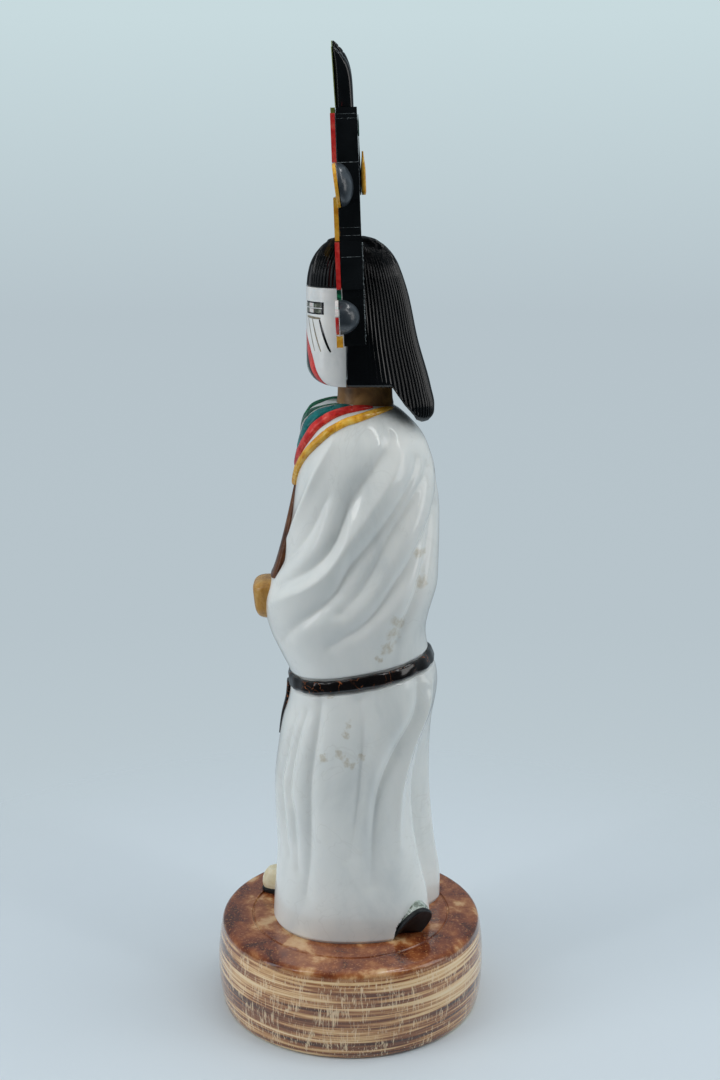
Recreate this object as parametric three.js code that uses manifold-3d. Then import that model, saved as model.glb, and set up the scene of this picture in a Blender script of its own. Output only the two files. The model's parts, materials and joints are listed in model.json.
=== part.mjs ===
// Kachina doll of inlaid stone: a masked, robed figure with an upright board across its head.
// Millimetres, +Z up. The origin is the centre of the base's underside, the figure faces -Y and
// its left side is +X. Heights inside the figure are counted from the hem unless a name says so.

import * as THREE from 'three';
import { mergeVertices } from 'three/addons/utils/BufferGeometryUtils.js';
import Module from 'manifold-3d';

// Gap kept between fitted pieces
const FIT = 0.3;

// Base
const BASE_RADIUS = 55;
const BASE_HEIGHT = 37.5;
const BASE_BULGE = 1.8;
const BASE_EDGE = 2.6;
const BASE_SIDES = 36;
const RING_RADIUS = 41.8;
const RING_WIDTH = 1.2;
const RING_DEPTH = 0.6;

// Robe. Rows of the sections: height, front reach, back reach on the left and on the right, half
// width. They are drawn for the table's sizes and scaled as a whole to the robe's.
const ROBE_HEIGHT = 220;
const ROBE_DEPTH = 72;
const ROBE_WIDTH = 63;
const TABLE_DEPTH = 72;
const TABLE_WIDTH = 63;
const ROBE_SIDES = 38;
const ROBE_RINGS = 24;
const RING_CROWDING = 1.18;
const ROBE_SQUARENESS = 2.25;
const ROBE_SECTIONS = [
  [0, 33, 36, 42.5, 31],
  [11, 32.4, 35, 42.5, 31],
  [30, 31, 30.5, 39.5, 31],
  [50, 31.6, 27.4, 37.4, 31.4],
  [66, 31.4, 27.4, 36.6, 31.2],
  [77, 30, 30, 36.4, 30.9],
  [90, 27.8, 35.2, 36.4, 30],
  [99, 25.2, 35.4, 35.9, 28.7],
  [110, 24.8, 32, 32, 27.6],
  [119, 28.6, 30.9, 30.9, 28.5],
  [128, 32.5, 32.1, 32.1, 30],
  [137, 34.6, 34, 34, 31.3],
  [144, 34, 35.3, 35.3, 31.5],
  [156, 27.8, 35.8, 35.8, 31.2],
  [170, 24, 36, 36, 30.5],
  [186, 21.8, 35.4, 35.4, 29],
  [200, 19.8, 32.2, 32.2, 26.4],
  [208, 18, 28.6, 28.6, 23.2],
  [214, 17, 23.4, 23.4, 18.4],
  [218, 14.4, 18.6, 18.6, 13.8],
  [220, 9.5, 15, 15, 10.2],
];
const CLEFT_DEPTH = 9;
const CLEFT_HEIGHT = 96;
const CLEFT_SPREAD = 13;

// Folds of the robe. Points are degrees round from the left side (90 is the back) and millimetres
// above the hem. A fold with a negative depth is a ridge.
const CAPE_FOLDS = [
  { depth: -1.5, spread: 3.6, line: [[-18, 208], [-35, 196], [-52, 182], [-78, 166]] },
  { depth: 1.1, spread: 3.4, line: [[-20, 187], [-39, 173], [-58, 163], [-76, 157]] },
  { depth: 2.1, spread: 3.2, line: [[33, 209], [6, 191], [-11, 170], [-30, 159], [-62, 149]] },
  { depth: -1.2, spread: 3.4, line: [[38, 203], [12, 183], [-8, 163], [-30, 151], [-66, 141]] },
  { depth: 1.7, spread: 3.2, line: [[52, 198], [24, 178], [2, 161], [-14, 144], [-52, 129]] },
  { depth: 1.4, spread: 3, line: [[66, 196], [43, 184], [24, 170], [8, 152], [-4, 140]] },
  { depth: 1.3, spread: 3.4, line: [[72, 180], [48, 165], [28, 151], [10, 135], [-12, 125]] },
  { depth: 1, spread: 3.4, line: [[84, 190], [66, 172], [50, 150], [40, 132], [34, 122]] },
];
const SKIRT_FOLDS = [
  { depth: 1.3, spread: 2.8, line: [[-54, 94], [-62, 76], [-68, 65], [-62, 52], [-54, 34]] },
  { depth: 1.4, spread: 2.8, line: [[-41, 96], [-50, 76], [-52, 62], [-46, 52], [-43, 30]] },
  { depth: 1.4, spread: 3, line: [[-25, 100], [-26, 88], [-29, 72], [-29, 46], [-33, 20]] },
  { depth: 1.1, spread: 3.2, line: [[5, 100], [7, 86], [6, 70], [3, 54], [0, 38]] },
  { depth: 2, spread: 3.6, line: [[50, 104], [49, 90], [37, 79], [25, 67], [19, 52], [14, 26]] },
  { depth: -1.4, spread: 3.4, line: [[66, 98], [59, 88], [49, 72], [44, 56], [42, 40]] },
];

// Belt: a ring that lies in a sloping groove, higher at the back
const BELT_FRONT_HEIGHT = 107;
const BELT_RISE = 9.2;
const BELT_SPAN = 57;
const BELT_LEVEL_Y = -24;
const BELT_TALL = 5.4;
const BELT_GROOVE = 1.6;
const GROOVE_EDGE = 0.8;
const RING_CLEAR = 2.4;
const BELT_PROUD = 0.9;
const BELT_FADE = 46;
const KNOT_SIZE = 3.2;
const SASH_LENGTH = 23;
const SASH_WIDTH = 8;
const SASH_PROUD = 1.9;

// Chest panel and hands
const PANEL_TOP = 187;
const PANEL_TALL = 37;
const PANEL_HALF_TOP = 1.4;
const PANEL_HALF_LOW = 9.5;
const PANEL_PROUD = 2.9;
const HANDS_HEIGHT = 140.6;
const HANDS_HALF = [10, 7.6, 8.4];
const HANDS_PROUD = 4.9;

// Necklace strands, inner to outer. Each lies where a sloping plane meets the chest: the drop is
// the height of the plane's front below the shoulder top, the rise is that of its back.
const STRANDS = [
  { name: 'necklace_malachite', color: 0x14573f, drop: 11, rise: 0.5, wide: 6, reach: 80 },
  { name: 'necklace_turquoise', color: 0x147a78, drop: 17, rise: 0.6, wide: 6.8, reach: 94 },
  { name: 'necklace_coral', color: 0xc9352c, drop: 24, rise: 0.8, wide: 5.6, reach: 120 },
  { name: 'necklace_amber', color: 0xe0a236, drop: 32, rise: 1.6, wide: 4.4, reach: 160 },
];
const STRAND_BEND = 2.6;
const STRAND_TALL = 1.6;
const STRAND_STEPS = 14;

// Head
const NECK_LENGTH = 8.2;
const NECK_HALF = [9.5, 10.8];
const NECK_CENTRE_Y = 6;
const MASK_HEIGHT = 37.4;
const MASK_HALF_WIDTH = 19.6;
const MASK_FRONT = 16.9;
const MASK_BACK = 1.3;
const MASK_SQUARENESS = 2.5;
const CHIN_ROUND = 8;
const INLAY_DEPTH = 1.4;
const HAIR_HALF_WIDTH = 20.6;
const HAIR_TOP = 56.2;
const FRINGE_LOW = 37.8;
const HAIR_FLUTE = 0.35;

// Eyes and chin arches, seen from the front, heights counted from the mask's underside
const EYE_INNER = 7.6;
const EYE_OUTER = 17.8;
const EYE_LOW = 27.4;
const EYE_HIGH = 32.2;
const CHIN_BANDS = [
  { name: 'chin_coral', color: 0xd23a2a, outer: [15.8, 20.8], inner: [12.8, 15.2] },
  { name: 'chin_jet', color: 0x2b2d2f, outer: [12.8, 15.2], inner: [10.4, 11.6] },
  { name: 'chin_green', color: 0x5d9a78, outer: [10.4, 11.6], inner: [5.6, 4.8] },
];

// Board across the head. Heights run up its leaning face from its lower end.
const BOARD_BELOW_CROWN = 39.6;
const BOARD_THICK = 7.9;
const BOARD_LEAN = 2.1;
const BOARD_FRONT_LOW = 1.9;
const INLAY_THICK = 1.7;
const CLOUD_THICK = 0.6;
const LEG_IN = 22.2;
const LEG_OUT = 28;
const BROW = { half: 29, low: 21, high: 38.5 };
const WAIST = { half: 24.5, low: 38.5, high: 54.5 };
const SHOULDER = { half: 28, low: 54.5, high: 66.8 };
const TOP = { half: 22, low: 66.8, high: 84.5 };
const TIP = { half: 10, low: 84.5, high: 87 };
const BOARD_ROWS = [BROW, WAIST, SHOULDER, TOP, TIP];
const BROW_IN = 21.6;
const HEAD_CLEAR_HALF = 12;
const HEAD_CLEAR_TOP = 42;
const CLOUD_HALF = [13, 9, 5];

// Crest feathers: offset across, height, forward sweep
const CREST = [
  { side: 'left', across: 6.6, tall: 21.5, splay: 7 },
  { side: 'middle', across: 0, tall: 24.6, splay: 0 },
  { side: 'right', across: -6.6, tall: 21.5, splay: -7 },
];
const CREST_HALF_WIDTH = 2.9;
const CREST_FRONT = 0.3;
const CREST_SWEEP = 0.6;
const CREST_THICK = 7;
const CREST_CURL = 7;
const CREST_BEND = 4.4;
const CREST_PLATE = 0.9;

// Round-ended feathers and ear ornaments at the board's sides
const LOBE_TALL = 16;
const LOBE_REACH = 8.5;
const LOBE_DEEP = 5.2;
const LOBE_MIDDLE = 58.8;
const LOBE_TURN = 5.5;
const LOBE_FORWARD = -0.4;
const EAR_RADIUS = 6.5;
const EAR_DEEP = 7.4;
const EAR_MIDDLE = 10.9;
const EAR_FORWARD = 1.2;
const PLATE_THICK = 1.6;
const PENDANT_TALL = 4.2;
const PENDANT_WIDE = 3;
const PENDANT_DEEP = 2.4;

// Plume that stands off the back of the board
const PLUME_HALF_WIDTH = 4.5;
const PLUME_THICK = 0.9;
const PLUME_AMBER_THICK = 2;
const PLUME_LOW = 54.8;
const PLUME_HIGH = 71;
const PLUME_GREEN_LOW = 76.5;
const PLUME_GREEN_HIGH = 84.5;

// Shoes
const SHOE_LENGTH = 30;
const SHOE_WIDTH = 12.5;
const SHOE_TALL = 8.4;
const SOLE_THICK = 2;
const LEFT_SHOE = { x: 24, y: 23, lift: 0, tilt: 50, roll: -54, turn: 0 };
const RIGHT_SHOE = { x: -19.5, y: -24.2, lift: 0, tilt: 0, roll: 0, turn: 4 };
const HEM_ARCH_TALL = 11.6;
const HEM_ARCH_HALF = 11;
const HEM_ARCH_FROM = [13, 19.6];
const HEM_ARCH_TURN = 131;

const FULL_TURN = 2 * Math.PI;
const SHOULDER_Z = BASE_HEIGHT + ROBE_HEIGHT;
const HEAD_Z = SHOULDER_Z + NECK_LENGTH;
const BOARD_Z = HEAD_Z + HAIR_TOP - BOARD_BELOW_CROWN;

const wasm = await Module();
wasm.setup();

const doll = new THREE.Group();

function finish(color, roughness, metalness = 0) {
  return new THREE.MeshStandardMaterial({ color, roughness, metalness });
}

const MARBLE = finish(0xe9ecee, 0.12);
const JET = finish(0x0b0d0e, 0.16);
const ONYX = finish(0x8a5a38, 0.2);
const AMBER = finish(0xe0a236, 0.25);
const CORAL = finish(0xc9352c, 0.22);
const MALACHITE = finish(0x14573f, 0.2);
const TURQUOISE = finish(0x2f8f98, 0.3);
const SHELL = finish(0xdcdcd4, 0.15);
const TAN = finish(0xa9793f, 0.35);
const BROWN = finish(0x56331c, 0.3);

function add(name, geometry, material, parent = doll) {
  const mesh = new THREE.Mesh(geometry, material);
  mesh.name = name;
  parent.add(mesh);
  return mesh;
}

// Solids for joining and cutting

function toSolid(geometry) {
  const bare = geometry.clone();
  bare.deleteAttribute('normal');
  bare.deleteAttribute('uv');
  const merged = mergeVertices(bare, 1e-4);
  const mesh = new wasm.Mesh({
    numProp: 3,
    vertProperties: new Float32Array(merged.attributes.position.array),
    triVerts: new Uint32Array(merged.index.array),
  });
  return new wasm.Manifold(mesh);
}

function toGeometry(solid) {
  const mesh = solid.getMesh();
  const geometry = new THREE.BufferGeometry();
  geometry.setAttribute('position', new THREE.BufferAttribute(mesh.vertProperties, 3));
  geometry.setIndex(new THREE.BufferAttribute(mesh.triVerts, 1));
  geometry.computeVertexNormals();
  return geometry;
}

function box(width, depth, height, x, y, z) {
  return new THREE.BoxGeometry(width, depth, height).translate(x, y, z);
}

// Closed skin over a stack of rings with equal point counts, listed counter-clockwise seen from
// the side of the last ring
function skin(rings) {
  const count = rings[0].length;
  const points = rings.flat();
  const faces = [];
  for (let row = 0; row < rings.length - 1; row += 1) {
    for (let i = 0; i < count; i += 1) {
      const next = (i + 1) % count;
      const a = row * count + i;
      const b = row * count + next;
      faces.push(a, b, b + count, a, b + count, a + count);
    }
  }
  const addCap = (ring, start, flip) => {
    const middle = [0, 1, 2].map((k) => ring.reduce((sum, p) => sum + p[k], 0) / count);
    points.push(middle);
    const centre = points.length - 1;
    for (let i = 0; i < count; i += 1) {
      const a = start + i;
      const b = start + ((i + 1) % count);
      faces.push(centre, flip ? b : a, flip ? a : b);
    }
  };
  addCap(rings[0], 0, true);
  addCap(rings[rings.length - 1], (rings.length - 1) * count, false);
  const geometry = new THREE.BufferGeometry();
  geometry.setAttribute('position', new THREE.Float32BufferAttribute(points.flat(), 3));
  geometry.setIndex(faces);
  geometry.computeVertexNormals();
  return geometry;
}

// Small number helpers

const smooth = (edge0, edge1, value) => THREE.MathUtils.smoothstep(value, edge0, edge1);
const radians = THREE.MathUtils.degToRad;

function column(table, height, index) {
  if (height <= table[0][0]) return table[0][index];
  for (let row = 1; row < table.length; row += 1) {
    const [low, high] = [table[row - 1], table[row]];
    if (height <= high[0]) {
      const share = (height - low[0]) / (high[0] - low[0]);
      return low[index] + (high[index] - low[index]) * share;
    }
  }
  return table[table.length - 1][index];
}

// Point of a rounded section, squarer than an ellipse above 2
function roundedPoint(angle, squareness) {
  const bend = (value) => Math.sign(value) * Math.abs(value) ** (2 / squareness);
  return [bend(Math.cos(angle)), bend(Math.sin(angle))];
}

// Robe surface

const TABLE_HEIGHT = ROBE_SECTIONS[ROBE_SECTIONS.length - 1][0];
const tall = ROBE_HEIGHT / TABLE_HEIGHT;
const deep = ROBE_DEPTH / TABLE_DEPTH;
const wide = ROBE_WIDTH / TABLE_WIDTH;
const beltHeight = BELT_FRONT_HEIGHT * tall;
const beltSlope = BELT_RISE / (BELT_SPAN * deep);

function robeSize(height) {
  const h = height / tall;
  return {
    front: column(ROBE_SECTIONS, h, 1) * deep,
    left: column(ROBE_SECTIONS, h, 2) * deep,
    right: column(ROBE_SECTIONS, h, 3) * deep,
    half: column(ROBE_SECTIONS, h, 4) * wide,
  };
}

// Folds as finely stepped lines in degrees and millimetres
function stepLine(points) {
  const curve = new THREE.CatmullRomCurve3(points.map(([a, h]) => new THREE.Vector3(a, h, 0)));
  return curve.getPoints(points.length * 4);
}
const mirrored = (fold) => ({
  depth: fold.depth * 0.9,
  spread: fold.spread,
  line: fold.line.map(([a, h]) => [180 - a, h - 4]),
});
const folds = [...CAPE_FOLDS, ...SKIRT_FOLDS]
  .flatMap((fold) => [fold, mirrored(fold)])
  .map((fold) => ({ ...fold, line: stepLine(fold.line) }));

function foldDepth(angle, height) {
  const turn = THREE.MathUtils.radToDeg(angle);
  const h = height / tall;
  const arc = radians(1) * ROBE_WIDTH * 0.5;
  let total = 0;
  for (const fold of folds) {
    let nearest = Infinity;
    let along = 0;
    fold.line.forEach((point, index) => {
      const around = ((turn - point.x + 540) % 360) - 180;
      const distance = Math.hypot(around * arc, h - point.y);
      if (distance < nearest) {
        nearest = distance;
        along = index / (fold.line.length - 1);
      }
    });
    const fade = Math.sin(Math.PI * THREE.MathUtils.clamp(along, 0.08, 0.92)) ** 0.6;
    total += fold.depth * fade * Math.exp(-((nearest / fold.spread) ** 2));
  }
  return total;
}

// Sloping of the robe's rings round the belt, nothing at the hem and shoulders
function ringSlope(height) {
  return beltSlope * (1 - smooth(0, BELT_FADE, Math.abs(height - beltHeight) - BELT_TALL));
}

function beltGroove(height) {
  const edge = BELT_TALL / 2 + FIT;
  return BELT_GROOVE * (1 - smooth(edge, edge + GROOVE_EDGE, Math.abs(height - beltHeight)));
}

function robePoint(angle, height, lift = 0, withGroove = true) {
  const slope = ringSlope(height);
  const level = robeSize(height);
  const [cos, sin] = roundedPoint(angle, ROBE_SQUARENESS);
  const leftShare = smooth(-0.2, 0.25, cos);
  const back = level.right + (level.left - level.right) * leftShare;
  const cleft = CLEFT_DEPTH * (1 - smooth(0.55, 1, height / (CLEFT_HEIGHT * tall)));
  const nearCleft = Math.exp(-(((angle - Math.PI / 2 - 0.05) / radians(CLEFT_SPREAD)) ** 2));
  const reach = sin < 0 ? level.front : back;
  let inward = foldDepth(angle, height) + cleft * nearCleft - lift;
  if (withGroove) inward += beltGroove(height);
  const x = cos * level.half - inward * Math.cos(angle);
  const y = sin * reach - inward * Math.sin(angle);
  return [x, y, BASE_HEIGHT + height + slope * (y - BELT_LEVEL_Y * deep)];
}

const ringAngles = Array.from({ length: ROBE_SIDES }, (_, i) => (i / ROBE_SIDES) * FULL_TURN - Math.PI / 2);

function robeHeights() {
  const edge = BELT_TALL / 2 + FIT;
  const levels = [];
  for (let i = 0; i <= ROBE_RINGS; i += 1) {
    const share = i / ROBE_RINGS;
    const height = ROBE_HEIGHT * (1 - (1 - share) ** RING_CROWDING);
    if (Math.abs(height - beltHeight) > edge + RING_CLEAR) levels.push(height);
  }
  for (const offset of [-edge - GROOVE_EDGE, -edge, edge, edge + GROOVE_EDGE]) levels.push(beltHeight + offset);
  return levels.sort((a, b) => a - b);
}

function robeGeometry(lift) {
  const rings = robeHeights().map((height) => ringAngles.map((a) => robePoint(a, height, lift)));
  if (lift > 0) {
    rings.unshift(rings[0].map(([x, y, z]) => [x, y, z - lift]));
    rings.push(rings[rings.length - 1].map(([x, y, z]) => [x, y, z + lift]));
  }
  return skin(rings);
}

const robeCutter = toSolid(robeGeometry(FIT));

// Base: barrel side, rounded rim and the incised ring on top
function buildBase() {
  const profile = [
    [0, 0],
    [BASE_RADIUS - 1, 0],
    [BASE_RADIUS, 1],
    [BASE_RADIUS + BASE_BULGE * 0.8, BASE_HEIGHT * 0.25],
    [BASE_RADIUS + BASE_BULGE, BASE_HEIGHT * 0.5],
    [BASE_RADIUS + BASE_BULGE * 0.7, BASE_HEIGHT * 0.78],
    [BASE_RADIUS, BASE_HEIGHT - BASE_EDGE],
    [BASE_RADIUS - BASE_EDGE * 0.4, BASE_HEIGHT - BASE_EDGE * 0.35],
    [BASE_RADIUS - BASE_EDGE, BASE_HEIGHT],
    [RING_RADIUS + RING_WIDTH / 2, BASE_HEIGHT],
    [RING_RADIUS, BASE_HEIGHT - RING_DEPTH],
    [RING_RADIUS - RING_WIDTH / 2, BASE_HEIGHT],
    [0, BASE_HEIGHT],
  ].map(([radius, z]) => new THREE.Vector2(radius, z));
  const geometry = new THREE.LatheGeometry(profile, BASE_SIDES).rotateX(Math.PI / 2);
  add('base', geometry, ONYX);
}

// Shoe and sole in a tilted group's own frame: toe towards -Y, underside at zero
function shoeRings(grow, low, high) {
  const rings = [];
  const steps = 4;
  for (let i = 0; i <= steps; i += 1) {
    const share = i / steps;
    const z = low - grow + (high - low + 2 * grow) * share;
    const shrink = high - low > SOLE_THICK * 2 ? 1 - 0.34 * share ** 2.4 : 1;
    const ring = [];
    for (let k = 0; k < 16; k += 1) {
      const [cos, sin] = roundedPoint((k / 16) * FULL_TURN, 2.6);
      const taper = 1 + 0.12 * sin;
      const x = cos * (SHOE_WIDTH / 2) * shrink * taper + Math.sign(cos) * grow;
      const y = sin * (SHOE_LENGTH / 2) * (0.5 + 0.5 * shrink) + Math.sign(sin) * grow;
      ring.push([x, y, z]);
    }
    rings.push(ring);
  }
  return rings;
}

function shoePlace(shoe) {
  const matrix = new THREE.Matrix4().makeRotationFromEuler(
    new THREE.Euler(radians(shoe.tilt), radians(shoe.roll), radians(shoe.turn), 'ZXY'),
  );
  matrix.setPosition(shoe.x, shoe.y, BASE_HEIGHT + shoe.lift);
  return matrix;
}

// Half-space under the base's top face, as a deep block
const belowTop = toSolid(box(300, 300, 100, 0, 0, BASE_HEIGHT - 50));

function buildShoe(name, shoe, material) {
  const place = shoePlace(shoe);
  const solePart = skin(shoeRings(0, 0, SOLE_THICK)).applyMatrix4(place);
  const top = SOLE_THICK + FIT;
  const shoePart = skin(shoeRings(-FIT, top + FIT, top + SHOE_TALL)).applyMatrix4(place);
  add(`${name}_sole`, toGeometry(toSolid(solePart).subtract(belowTop)), JET);
  add(`${name}_shoe`, toGeometry(toSolid(shoePart).subtract(belowTop)), material);
  const room = skin(shoeRings(FIT, 0, top + SHOE_TALL)).applyMatrix4(place);
  return toSolid(room);
}

function hemArch() {
  const outline = new THREE.Shape();
  outline.moveTo(-HEM_ARCH_HALF, -5);
  outline.lineTo(HEM_ARCH_HALF, -5);
  outline.lineTo(HEM_ARCH_HALF, 0);
  outline.absellipse(0, 0, HEM_ARCH_HALF, HEM_ARCH_TALL, 0, Math.PI, false);
  const geometry = new THREE.ExtrudeGeometry(outline, { depth: 30, bevelEnabled: false, curveSegments: 8 });
  geometry.rotateX(Math.PI / 2);
  geometry.rotateZ(radians(HEM_ARCH_TURN));
  geometry.translate(...HEM_ARCH_FROM, BASE_HEIGHT);
  return toSolid(geometry);
}

function buildRobe() {
  const leftRoom = buildShoe('left', LEFT_SHOE, SHELL);
  const rightRoom = buildShoe('right', RIGHT_SHOE, finish(0xe6ddc6, 0.3));
  const robe = toSolid(robeGeometry(0)).subtract(leftRoom).subtract(rightRoom).subtract(hemArch());
  add('robe', toGeometry(robe), MARBLE);
}

// Belt ring on the groove's floor, and the knot in front
function buildBelt() {
  const half = BELT_TALL / 2;
  const profile = [
    [FIT, -half * 0.8],
    [FIT + 0.9, -half],
    [BELT_GROOVE + BELT_PROUD, -half * 0.4],
    [BELT_GROOVE + BELT_PROUD, half * 0.4],
    [FIT + 0.9, half],
    [FIT, half * 0.8],
  ];
  const rings = ringAngles.map((angle) => (
    profile.map(([out, up]) => robePoint(angle, beltHeight + up, out))
  ));
  const count = rings.length;
  const size = profile.length;
  const faces = [];
  for (let i = 0; i < count; i += 1) {
    for (let k = 0; k < size; k += 1) {
      const [a, b] = [i * size + k, i * size + ((k + 1) % size)];
      const [c, d] = [((i + 1) % count) * size + k, ((i + 1) % count) * size + ((k + 1) % size)];
      faces.push(a, d, b, a, c, d);
    }
  }
  const ring = new THREE.BufferGeometry();
  ring.setAttribute('position', new THREE.Float32BufferAttribute(rings.flat(2), 3));
  ring.setIndex(faces);
  const knot = new THREE.SphereGeometry(KNOT_SIZE, 12, 8).scale(1.1, 0.62, 0.86);
  const [, frontY, frontZ] = robePoint(-Math.PI / 2, beltHeight);
  knot.translate(0, frontY - BELT_PROUD, frontZ);
  const solid = toSolid(ring).add(toSolid(knot).subtract(robeCutter));
  add('belt', toGeometry(solid), JET);
  return toSolid(knot.clone().translate(0, 0, -FIT)).add(toSolid(ring.clone().translate(0, 0, -FIT)));
}

// Roundness of the strips' front
const STRIP_ROUND = 1.6;

// Strip that lies against the robe's front, cut to its surface
function frontStrip(rows) {
  const rings = rows.map(({ half, out, z, y }) => {
    const ring = [];
    for (let k = 0; k <= 6; k += 1) {
      const angle = Math.PI + (k / 6) * Math.PI;
      ring.push([Math.cos(angle) * half, y - out + (1 + Math.sin(angle)) * STRIP_ROUND, z]);
    }
    ring.push([half, y + 8, z], [-half, y + 8, z]);
    return ring;
  });
  return toSolid(skin(rings)).subtract(robeCutter);
}

function buildSash(beltRoom) {
  const top = beltHeight - BELT_TALL / 2;
  const rows = [0, 0.25, 0.5, 0.75, 0.92, 1].map((share) => {
    const height = top - SASH_LENGTH * (1 - share);
    const [, y, z] = robePoint(-Math.PI / 2, height, 0, false);
    const half = (SASH_WIDTH / 2) * Math.min(1, 0.12 + 1.6 * share) * (1 - 0.25 * share);
    const out = SASH_PROUD * (0.3 + 0.7 * share);
    return { half, out, z, y };
  });
  add('sash_end', toGeometry(frontStrip(rows).subtract(beltRoom)), JET);
}

function buildHands() {
  const [halfX, halfY, halfZ] = HANDS_HALF;
  const [, y, z] = robePoint(-Math.PI / 2, HANDS_HEIGHT * tall, 0, false);
  const rings = [];
  const levels = 6;
  for (let i = 0; i <= levels; i += 1) {
    const share = -0.94 + (1.88 * i) / levels;
    const girth = (1 - Math.abs(share) ** 2.6) ** 0.5 * (1 + 0.14 * share);
    const ring = [];
    for (let k = 0; k < 16; k += 1) {
      const angle = (k / 16) * FULL_TURN;
      const [cos, sin] = roundedPoint(angle, 2.6);
      const finger = k % 2 === 0 ? 0 : 0.45;
      ring.push([cos * halfX * girth, sin * (halfY * girth - finger), share * halfZ]);
    }
    rings.push(ring);
  }
  const geometry = skin(rings).translate(0, y - HANDS_PROUD + halfY, z);
  add('hands', toGeometry(toSolid(geometry).subtract(robeCutter)), TAN);
  return toSolid(geometry.clone().translate(0, 0, FIT));
}

function buildChest(handsRoom, necklaceRoom) {
  const low = (PANEL_TOP - PANEL_TALL) * tall;
  const rows = [0, 0.2, 0.4, 0.6, 0.8, 1].map((share) => {
    const height = low + PANEL_TALL * tall * share;
    const [, y, z] = robePoint(-Math.PI / 2, height, 0, false);
    const half = PANEL_HALF_LOW + (PANEL_HALF_TOP - PANEL_HALF_LOW) * share;
    return { half, out: PANEL_PROUD * (1 - 0.75 * share), z, y };
  });
  const panel = frontStrip(rows).subtract(handsRoom).subtract(necklaceRoom);
  add('chest_panel', toGeometry(panel), BROWN);
}

// Height above the hem of a strand's centre line at an angle from the front
function strandHeight(strand, share) {
  const slack = (1 - Math.abs(share)) ** STRAND_BEND;
  return ROBE_HEIGHT - (strand.rise + (strand.drop - strand.rise) * slack) * tall;
}

function buildNecklace() {
  let taken = null;
  for (const strand of STRANDS) {
    const rings = [];
    for (let i = 0; i <= STRAND_STEPS; i += 1) {
      const share = (2 * i) / STRAND_STEPS - 1;
      const angle = -Math.PI / 2 + share * radians(strand.reach);
      const height = strandHeight(strand, share);
      const taper = Math.max(0.16, (1 - Math.abs(share) ** 2.2) ** 0.5);
      const centre = new THREE.Vector3(...robePoint(angle, height));
      const above = new THREE.Vector3(...robePoint(angle, Math.min(ROBE_HEIGHT, height + 1)));
      const below = new THREE.Vector3(...robePoint(angle, height - 1));
      const up = above.sub(below).normalize();
      const ahead = new THREE.Vector3(...robePoint(angle + 0.02, height)).sub(centre).normalize();
      const out = new THREE.Vector3().crossVectors(ahead, up).normalize();
      const ring = [[-0.5, -2], [0.5, -2], [0.5, 0.4], [0, 1], [-0.5, 0.4]];
      rings.push(ring.map(([across, rise]) => {
        const tallHere = rise > 0 ? rise * (STRAND_TALL * taper + FIT) : rise;
        return centre.clone()
          .addScaledVector(up, across * strand.wide * taper)
          .addScaledVector(out, tallHere)
          .toArray();
      }));
    }
    let solid = toSolid(skin(rings)).subtract(robeCutter);
    if (taken) solid = solid.subtract(taken);
    add(strand.name, toGeometry(solid), finish(strand.color, 0.25));
    const room = toSolid(skin(rings.map((ring) => growRing(ring))));
    taken = taken ? taken.add(room) : room;
  }
  return taken;
}

// Ring pushed outwards from its own middle by the fitting gap
function growRing(ring) {
  const middle = [0, 1, 2].map((k) => ring.reduce((sum, p) => sum + p[k], 0) / ring.length);
  return ring.map((p) => {
    const away = new THREE.Vector3(p[0] - middle[0], p[1] - middle[1], p[2] - middle[2]);
    away.setLength(away.length() + FIT * 1.3);
    return [middle[0] + away.x, middle[1] + away.y, middle[2] + away.z];
  });
}

// Mask: the front half of a rounded head with a flat back
function maskRing(height, lift) {
  const chin = Math.sqrt(Math.max(0, 1 - ((CHIN_ROUND - Math.min(height, CHIN_ROUND)) / CHIN_ROUND) ** 2));
  const half = MASK_HALF_WIDTH * (0.95 + 0.05 * chin) + lift;
  const reach = (MASK_FRONT - MASK_BACK) * (0.5 + 0.5 * chin) + lift;
  const ring = [];
  for (let k = 0; k <= 16; k += 1) {
    const [cos, sin] = roundedPoint(Math.PI + (k / 16) * Math.PI, MASK_SQUARENESS);
    ring.push([cos * half, -MASK_BACK + sin * reach, HEAD_Z + height]);
  }
  return ring;
}

function maskGeometry(lift) {
  const heights = [0, 0.5, 1.8, 4.2, CHIN_ROUND, MASK_HEIGHT];
  const rings = heights.map((height) => maskRing(height, lift));
  if (lift < 0) rings.unshift(rings[0].map(([x, y, z]) => [x, y, z - 2]));
  return skin(rings);
}

function archShape([outerHalf, outerTall], [innerHalf, innerTall], grow) {
  const shape = new THREE.Shape();
  const [ow, oh, iw, ih] = [outerHalf + grow, outerTall + grow, innerHalf - grow, innerTall - grow];
  shape.moveTo(ow, -2);
  shape.lineTo(ow, 0);
  shape.absellipse(0, 0, ow, oh, 0, Math.PI, false);
  shape.lineTo(-ow, -2);
  shape.lineTo(-iw, -2);
  shape.lineTo(-iw, 0);
  shape.absellipse(0, 0, iw, ih, Math.PI, 0, true);
  shape.lineTo(iw, -2);
  return shape;
}

function frontPrism(shape) {
  const geometry = new THREE.ExtrudeGeometry(shape, { depth: 40, bevelEnabled: false, curveSegments: 7 });
  return toSolid(geometry.rotateX(Math.PI / 2).translate(0, -MASK_BACK - 1, HEAD_Z));
}

function rectangleShape(x0, x1, z0, z1) {
  const shape = new THREE.Shape();
  shape.moveTo(x0, z0);
  shape.lineTo(x1, z0);
  shape.lineTo(x1, z1);
  shape.lineTo(x0, z1);
  return shape;
}

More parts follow.
